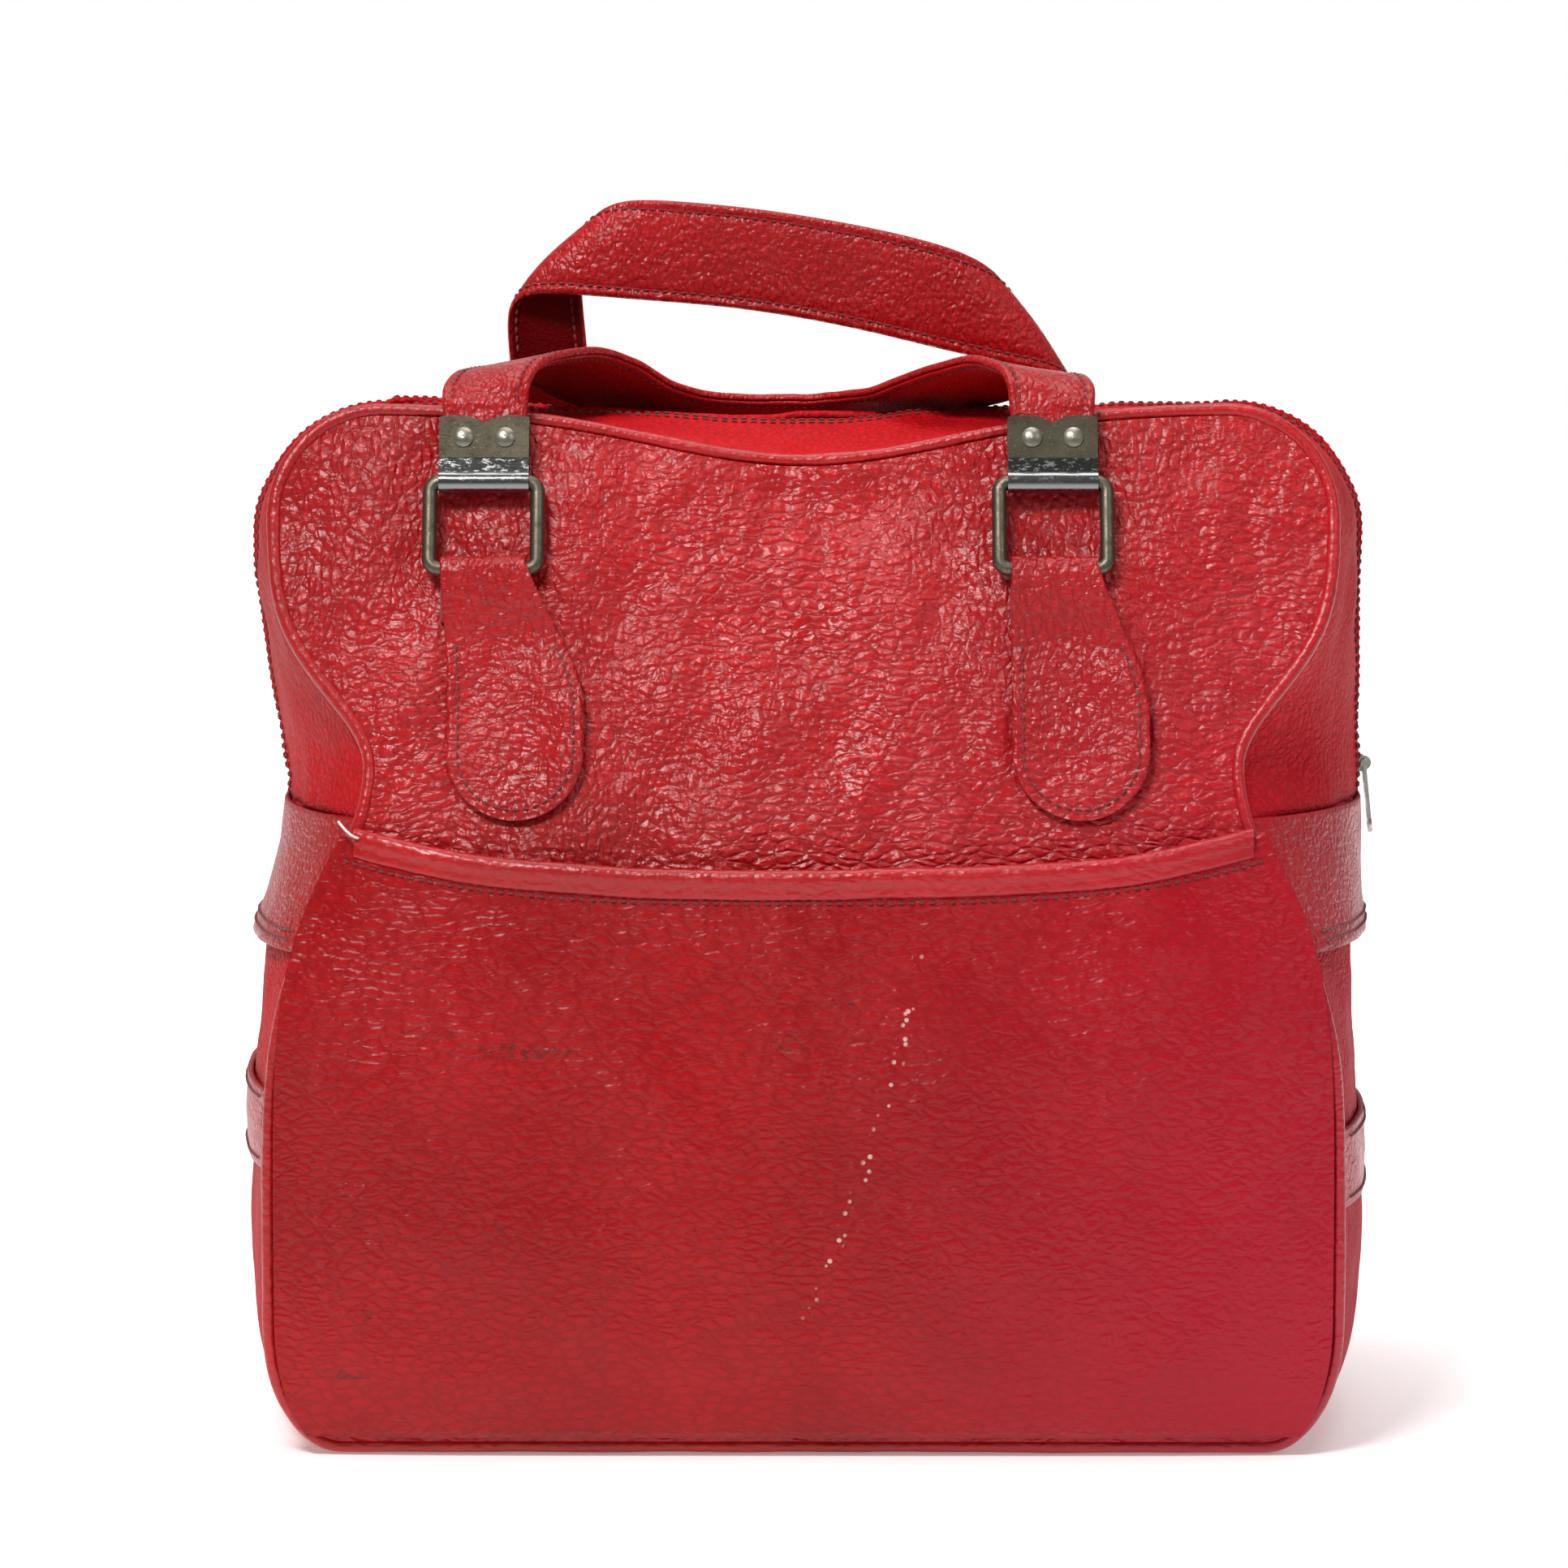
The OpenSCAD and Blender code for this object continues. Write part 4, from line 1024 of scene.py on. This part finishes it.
def make_bands():
    """The flaps over the ends of the zip and the keeper straps below them."""
    for f, end in ((-1, "left"), (1, "right")):
        make_band("flap", "end_flap_" + end, f, FLAP_FOOT, WAIST_Z - 0.3, FLAP_LIFT, (3.2, 6.2))
        foot = KEEPER_FOOT[end]
        lifts = ([foot, foot + KEEPER_W / 2, foot + KEEPER_W], [0.4, 0.9, 0.2])
        make_band("keeper", "keeper_strap_" + end, f, foot, foot + KEEPER_W, lifts, (2.8, 23.2))


# --- Tabs ------------------------------------------------------------------------------------

BAR_Z = 289.5
BAR_STAND = 5.6
BAR_Y = 81.606 + BAR_STAND
RING_H = 29.2
RING_X = {-1: (-104.5, 81.5), 1: (-90.0, 88.0)}
PADDLE_SHIFT = {-1: (11.0, 8.5), 1: (0.0, 0.0)}
PADDLE_R = 22.2
PADDLE_V = 61.0
NECK = 13.9
LOOP_R = 4.1
PANEL_OFF = BAR_STAND * math.cos(LEAN)


def from_ring(p, x, side):
    """Carries points from a ring's leaned frame to the body's. side is -1 in front."""
    px, py, pz = p[..., 0], p[..., 1], p[..., 2]
    y = py * math.cos(LEAN) + pz * math.sin(LEAN) - BAR_Y
    z = -py * math.sin(LEAN) + pz * math.cos(LEAN) + BAR_Z
    if side < 0:
        return np.stack([px + x, y, z], -1)
    return np.stack([x - px, -y, z], -1)


def tab_edge(v, shift, hand):
    """Where a tab's edge runs, v below the ring's bar; hand is -1 for the left one."""
    widest = shift + hand * PADDLE_R
    flare = smoothstep(-4, 46, v) ** 0.8
    neck = hand * NECK + (widest - hand * NECK) * flare
    reach = np.sqrt(np.maximum(0, PADDLE_R ** 2 - (v - PADDLE_V) ** 2))
    return np.where(v < PADDLE_V, neck, shift + hand * reach)


def tab_face(x, v, side, place, shift, more=0.0):
    """A point of a tab's outer face: x across, v down from the ring's bar."""
    lift = 2.5 + 6.96 * smoothstep(26, 0, v)
    u = (x - shift * smoothstep(24, 60, v)) / 20.0
    curl = smoothstep(0.2, 1.15, u) * 2.6 + smoothstep(0.4, 1.1, -u) * 0.8
    curl = curl * smoothstep(18, 44, v) * smoothstep(92, 60, v)
    lift = lift + curl + 0.3 * ripples(x, v, 22.0, place) * smoothstep(20, 34, v)
    ring = np.stack([x, PANEL_OFF - lift - more, -v], -1)
    world = from_ring(ring, place, side)
    surface = front_y if side < 0 else back_y
    flat = BAR_Y - BAR_STAND + (BAR_Z - world[..., 2]) * 0.303
    sink = surface(world[..., 0], world[..., 2]) - flat
    world[..., 1] += side * sink * smoothstep(4, 24, v)
    return world


def make_tabs():
    for side, half in ((-1, "front"), (1, "rear")):
        for place, shift, end in zip(RING_X[side], PADDLE_SHIFT[side], ("left", "right")):
            u = np.linspace(-1, 1, 31)[None, :]
            v = np.concatenate([np.arange(0, 60, 1.6),
                                PADDLE_V + PADDLE_R * np.sin(np.radians(np.arange(0, 88.6, 3.4)))])[:, None]
            left, right = tab_edge(v, shift, -1), tab_edge(v, shift, 1)
            x = left + (right - left) * (u + 1) / 2
            front = tab_face(x, v + 0 * x, side, place, shift)
            around = np.radians(np.arange(180, 4, -12))[:, None]
            flat = np.broadcast_to(NECK * u, (len(around), u.shape[1]))
            loop = from_ring(np.stack([flat, 0 * flat - LOOP_R * np.cos(around),
                                       0 * flat + LOOP_R * np.sin(around)], -1), place, side)
            down = np.linspace(17, 0, 8, endpoint=False)[:, None]
            behind = PANEL_OFF - 0.45 - (PANEL_OFF - LOOP_R - 0.45) * smoothstep(17, 0, down)
            flat = np.broadcast_to(NECK * u, (len(down), u.shape[1]))
            back = from_ring(np.stack([flat, flat * 0 + behind, flat * 0 - down], -1), place, side)
            grid = np.concatenate([back, loop, front])
            rows, cols = grid.shape[:2]
            tab = make_object("tab_" + half + "_" + end + "_skin", grid.reshape(-1, 3),
                              grid_faces(rows, cols, flip=True), [VINYL_TAB, BACKING, CUT_EDGE])
            thicken(tab, 1.6)
            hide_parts("tab_" + half + "_" + end)
            ride_half(tab, side)
            rows = STITCHES["front_flap" if side < 0 else "bag"]
            inset = 3.4
            arc = np.radians(np.arange(0, 181, 6))
            v_in = np.arange(26, PADDLE_V, 2.0)
            xs = np.concatenate([tab_edge(v_in, shift, -1) + inset,
                                 shift - (PADDLE_R - inset) * np.cos(arc),
                                 (tab_edge(v_in, shift, 1) - inset)[::-1]])
            vs = np.concatenate([v_in, PADDLE_V + (PADDLE_R - inset) * np.sin(arc), v_in[::-1]])
            rows.append(spread_out(tab_face(xs, vs, side, place, shift, 0.05),
                                   tab_face(xs, vs, side, place, shift, 1.05)))


# --- Handles -----------------------------------------------------------------------------------

TOP_BAR_Y = BAR_Y - RING_H * math.sin(LEAN)
TOP_BAR_Z = BAR_Z + RING_H * math.cos(LEAN)
CLASPED = (4.2, 14, 23, 27.5)


def clasp_point(x, side, up):
    return [x, side * (TOP_BAR_Y - up * math.sin(LEAN)), TOP_BAR_Z + up * math.cos(LEAN)]


# the front strap's stations: a point of its middle line and the way across it
FRONT_ROUTE = [(clasp_point(-104.5, -1, up), (-1, 0, 0)) for up in CLASPED] + [
    ((-103.8, -66.3, 349.2), (-0.97, 0.22, -0.06)),
    ((-100.5, -55.5, 353.6), (-0.93, 0.34, -0.13)),
    ((-93, -38, 355.8), (-0.89, 0.43, -0.2)),
    ((-82, -18, 355), (-0.84, 0.46, -0.3)),
    ((-70, -1, 350), (-0.76, 0.54, -0.36)),
    ((-56, 13, 343), (-0.62, 0.7, -0.35)),
    ((-41, 23, 338), (-0.4, 0.82, -0.42)),
    ((-25, 29, 336), (-0.17, 0.86, -0.47)),
    ((-9, 31.5, 335.5), (0, 0.87, -0.48)),
    ((5, 30, 336), (0.15, 0.86, -0.47)),
    ((19, 24, 337.5), (0.35, 0.84, -0.41)),
    ((33, 12, 340.5), (0.6, 0.72, -0.32)),
    ((46, -4, 346), (0.77, 0.56, -0.27)),
    ((58, -22, 350), (0.82, 0.48, -0.3)),
    ((70, -40, 353), (0.87, 0.4, -0.25)),
    ((78, -56, 352.8), (0.94, 0.3, -0.13)),
    ((81, -66.3, 349), (0.98, 0.18, -0.06))] + [
    (clasp_point(81.5, -1, up), (1, 0, 0)) for up in CLASPED[::-1]]

# the rear strap before its ends are folded down: x and z of its middle line
REAR_LINE = [(-163.5, 395), (-120, 395), (-78, 395), (-45, 393.8), (-11, 390.3), (28, 383.3),
             (70.5, 372.4), (100.5, 363.8), (131.8, 354.8)]
REAR_FOLDS = (((-75.6, 395), 45), ((71.7, 372), -53))
FOLD_R = 6.5
BEND_Z, BEND_LEN = 371.0, 27.2
LEG_Y = TOP_BAR_Y - 0.303 * (BEND_Z - TOP_BAR_Z - BEND_LEN / 2)


def catmull(stations, t):
    """A smooth curve through a list of stations; t counts them."""
    stations = np.asarray(stations, float)
    n = len(stations)
    i = np.clip(np.floor(t).astype(int), 0, n - 2)
    k = (t - i)[:, None]
    a, b = stations[np.maximum(i - 1, 0)], stations[i]
    c, d = stations[i + 1], stations[np.minimum(i + 2, n - 1)]
    return 0.5 * (2 * b + (c - a) * k + (2 * a - 5 * b + 4 * c - d) * k ** 2
                  + (3 * b - a - 3 * c + d) * k ** 3)


def unit(v):
    return v / np.maximum(np.linalg.norm(v, axis=-1, keepdims=True), 1e-9)


def heading(stations, t):
    last = len(stations) - 1
    return unit(catmull(stations, np.minimum(t + 0.05, last)) - catmull(stations, np.maximum(t - 0.05, 0)))


def strap_half_w(t, n):
    k = np.minimum(t, n - t) / n * 2
    return (26 + 8 * smoothstep(0.14, 0.7, k)) / 2


def front_strap(t, across, off):
    """Points of the front strap; across and off hold one column per point of its section."""
    mids = [r[0] for r in FRONT_ROUTE]
    d = heading(mids, t)
    w = catmull([r[1] for r in FRONT_ROUTE], t)
    w = unit(w - np.sum(w * d, axis=1, keepdims=True) * d)
    face = np.cross(d, w)
    half = strap_half_w(t, len(mids) - 1)[:, None]
    reach = across[None, :, 0] * half + across[None, :, 1]
    return (catmull(mids, t)[:, None] + reach[..., None] * w[:, None]
            + (off + 0 * reach)[..., None] * face[:, None])


def folded(p, fold):
    """Carries points past a fold's line round the roll, to behind the strap."""
    angle = math.radians(fold[1])
    a = np.array([math.cos(angle), 0, math.sin(angle)])
    b = np.array([-a[2], 0, a[0]])
    c = np.array([fold[0][0], 0, fold[0][1]])
    past = (p - c) @ b
    turn = np.clip(past / FOLD_R, 0, math.pi)[..., None]
    r = (FOLD_R - p[..., 1])[..., None]
    line = c + ((p - c) @ a)[..., None] * a
    back = np.array([0, 1, 0])
    rolled = line + r * np.sin(turn) * b + (FOLD_R - r * np.cos(turn)) * back
    rolled = rolled - np.maximum(0, past - math.pi * FOLD_R)[..., None] * b
    return np.where(past[..., None] <= 0, p, rolled)


def rear_strap(t, across, off):
    last = len(REAR_LINE) - 1
    mid, d = catmull(REAR_LINE, t), heading(REAR_LINE, t)
    half = strap_half_w(t, last)[:, None]
    reach = across[None, :, 0] * half + across[None, :, 1]
    x = mid[:, :1] - reach * d[:, 1:]
    z = mid[:, 1:] + reach * d[:, :1]
    flat = np.stack([x, -(off + 0 * x), z], -1)
    p = folded(folded(flat, REAR_FOLDS[0]), REAR_FOLDS[1]) + np.array([0, LEG_Y - 2 * FOLD_R, 0])
    drop = np.maximum(0, BEND_Z - p[..., 2])
    p[..., 1] += np.where(drop < BEND_LEN, 0.303 * drop ** 2 / BEND_LEN / 2, 0.303 * (drop - BEND_LEN / 2))
    return p


# a strap's section: [share of the half width, millimetres more], depth. The cover rolls
# over its edges, with a stitched channel inside each; the lining lies within it.
COVER_EDGE = [(0.0, -0.75), (0.35, -0.75), (0.62, -0.35), (0.72, 0.2), (0.62, 0.85), (0.25, 1.5),
              (-0.45, 1.92), (-1.3, 1.9), (-2.1, 1.55), (-2.8, 1.28), (-3.5, 1.5), (-4.4, 1.72)]
LINING_EDGE = [(-0.9, -0.5), (-0.5, -0.8), (-0.45, -1.25), (-0.8, -1.65), (-1.8, -1.85), (-3.2, -1.5),
               (-4.6, -1.78)]


def laid(strap, t, across, off):
    """A strap's points. The rear one turns its corners gently, so its lines are eased."""
    grid = strap(t, across, off)
    if strap is front_strap:
        return grid
    reach = 44
    kernel = np.exp(-np.square(np.arange(-reach, reach + 1) / 16.0))
    kernel /= kernel.sum()
    before = 2 * grid[:1] - grid[reach:0:-1]
    after = 2 * grid[-1:] - grid[-2:-reach - 2:-1]
    longer = np.concatenate([before, grid, after])
    grid = np.stack([np.sum(longer[i:i + 2 * reach + 1] * kernel[:, None, None], axis=0)
                     for i in range(len(grid))])
    # the two folded corners lie further out, and the grip a little higher
    x, z = grid[..., 0].copy(), grid[..., 2].copy()
    grid[..., 0] += 0.8 * bump(np.hypot(x - 82, z - 375), 20) - 6 * bump(np.hypot(x + 90, z - 388), 24)
    grid[..., 2] += 1.2 * smoothstep(345, 378, z) + 1.5 * bump(np.hypot(x + 84, z - 402), 24)
    return grid


def section(edge, crown_off, inner_off):
    """A closed section of a strap: its left edge, its face, its right edge and its back."""
    left = [(-1, -more, off) for more, off in edge]
    face = [(k, 0, crown_off) for k in np.linspace(-0.6, 0.6, 9)]
    right = [(1, more, off) for more, off in edge[::-1]]
    back = [(k, 0, inner_off) for k in np.linspace(0.8, -0.8, 5)]
    whole = np.array(left + face + right + back)
    return whole[:, :2], whole[:, 2]


def make_handles():
    for half, strap, last, count in (("front", front_strap, len(FRONT_ROUTE) - 1, 300),
                                     ("rear", rear_strap, len(REAR_LINE) - 1, 330)):
        t = np.linspace(0, last, count)
        body = half + "_handle"
        # the rear strap's backing takes the darker lining copy, painted shade for its shadowed legs
        backing_material = LINING if half == "front" else SHADOW_LINING
        for part, edge, face, under, finish in (
                ("cover", COVER_EDGE, 1.82, -0.45, VINYL_STRAP),
                ("backing", LINING_EDGE, -1.8, -0.6, backing_material)):
            across, off = section(edge, face, under)
            grid = laid(strap, t, across, off[None, :])
            if half == "front":
                wave = 0.5 * ripples(t[:, None] * 16, across[None, :, 0] * 15, 26.0, 3.0)
                grid[..., 2] += wave * smoothstep(3.4, 6, np.minimum(t, last - t))[:, None]
            sides = grid.shape[1]
            faces = grid_faces(count, sides, looped=True)
            faces += [list(range(sides))[::-1], [(count - 1) * sides + j for j in range(sides)]]
            name = "handle_" + half + "_" + part
            ply = make_object(name + "_skin", grid.reshape(-1, 3), faces, [finish])
            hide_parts(name)
            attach(ply, body)
        ends = 3.2 if half == "front" else 0.9
        keep = (t > ends) & (t < last - ends)
        for hand in (-1, 1):
            column = np.array([[hand, -hand * 2.8]])
            for low, high in ((1.34, 2.34), (-1.6, -2.6)):
                wave = 0
                if half == "front":
                    wave = 0.5 * ripples(t * 16, 0 * t + hand * 15, 26.0, 3.0)
                    wave = wave * smoothstep(3.4, 6, np.minimum(t, last - t))
                rise = np.stack([0 * t, 0 * t, wave + 0 * t], -1)
                base = laid(strap, t, column, np.array([[low]]))[:, 0] + rise
                over = laid(strap, t, column, np.array([[high]]))[:, 0] + rise
                STITCHES[body].append(spread_out(base[keep], over[keep]))


# --- Hardware and inside ----------------------------------------------------------------------

def finish_hardware():
    """CAD pieces whose shape is right take their finishes and softer edges."""
    finishes = {"ring": (RING_METAL, 0.0), "clasp": (PLATE_METAL, 0.22), "rivets": (RIVET_METAL, 0.15),
                "zip_slider": (BRIGHT_METAL, 0.2), "zip_pull": (BRIGHT_METAL, 0.2),
                "base_board": (BOARD, 1.0), "ball_cradle": (BOARD, 0.8)}
    for name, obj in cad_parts.items():
        found = [value for key, value in finishes.items() if name.startswith(key)]
        if not found:
            continue
        material, width = found[0]
        obj.data.materials.clear()
        obj.data.materials.append(material)
        if width:
            edge = obj.modifiers.new("Edges", "BEVEL")
            edge.width = width * MM
            edge.segments = 2
            edge.limit_method = "ANGLE"
            edge.harden_normals = True


def make_loose_thread():
    """A cut end of white thread at the left end of the pocket's mouth."""
    t = np.linspace(0, 1, 14)
    foot = pocket_place(np.array([-0.955]), np.array([0.985]))[0]
    path = foot + np.stack([-6.5 * t, -2.2 - 1.2 * np.sin(3 * t), 2.5 + 5.5 * t ** 1.5], -1)
    end = tube_object("loose_thread", path, 0.42, 6, WHITE_THREAD)
    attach(end, "bag")


def make_stitches():
    for body, rows in STITCHES.items():
        obj = stitch_rows("stitching_" + body, rows, THREAD)
        if body == "front_flap":
            hinge_blend(obj)
        else:
            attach(obj, body)


make_panels()
make_gussets()
make_piping()
make_zip()
make_pocket()
make_bands()
make_tabs()
make_handles()
make_stitches()
make_loose_thread()
finish_hardware()
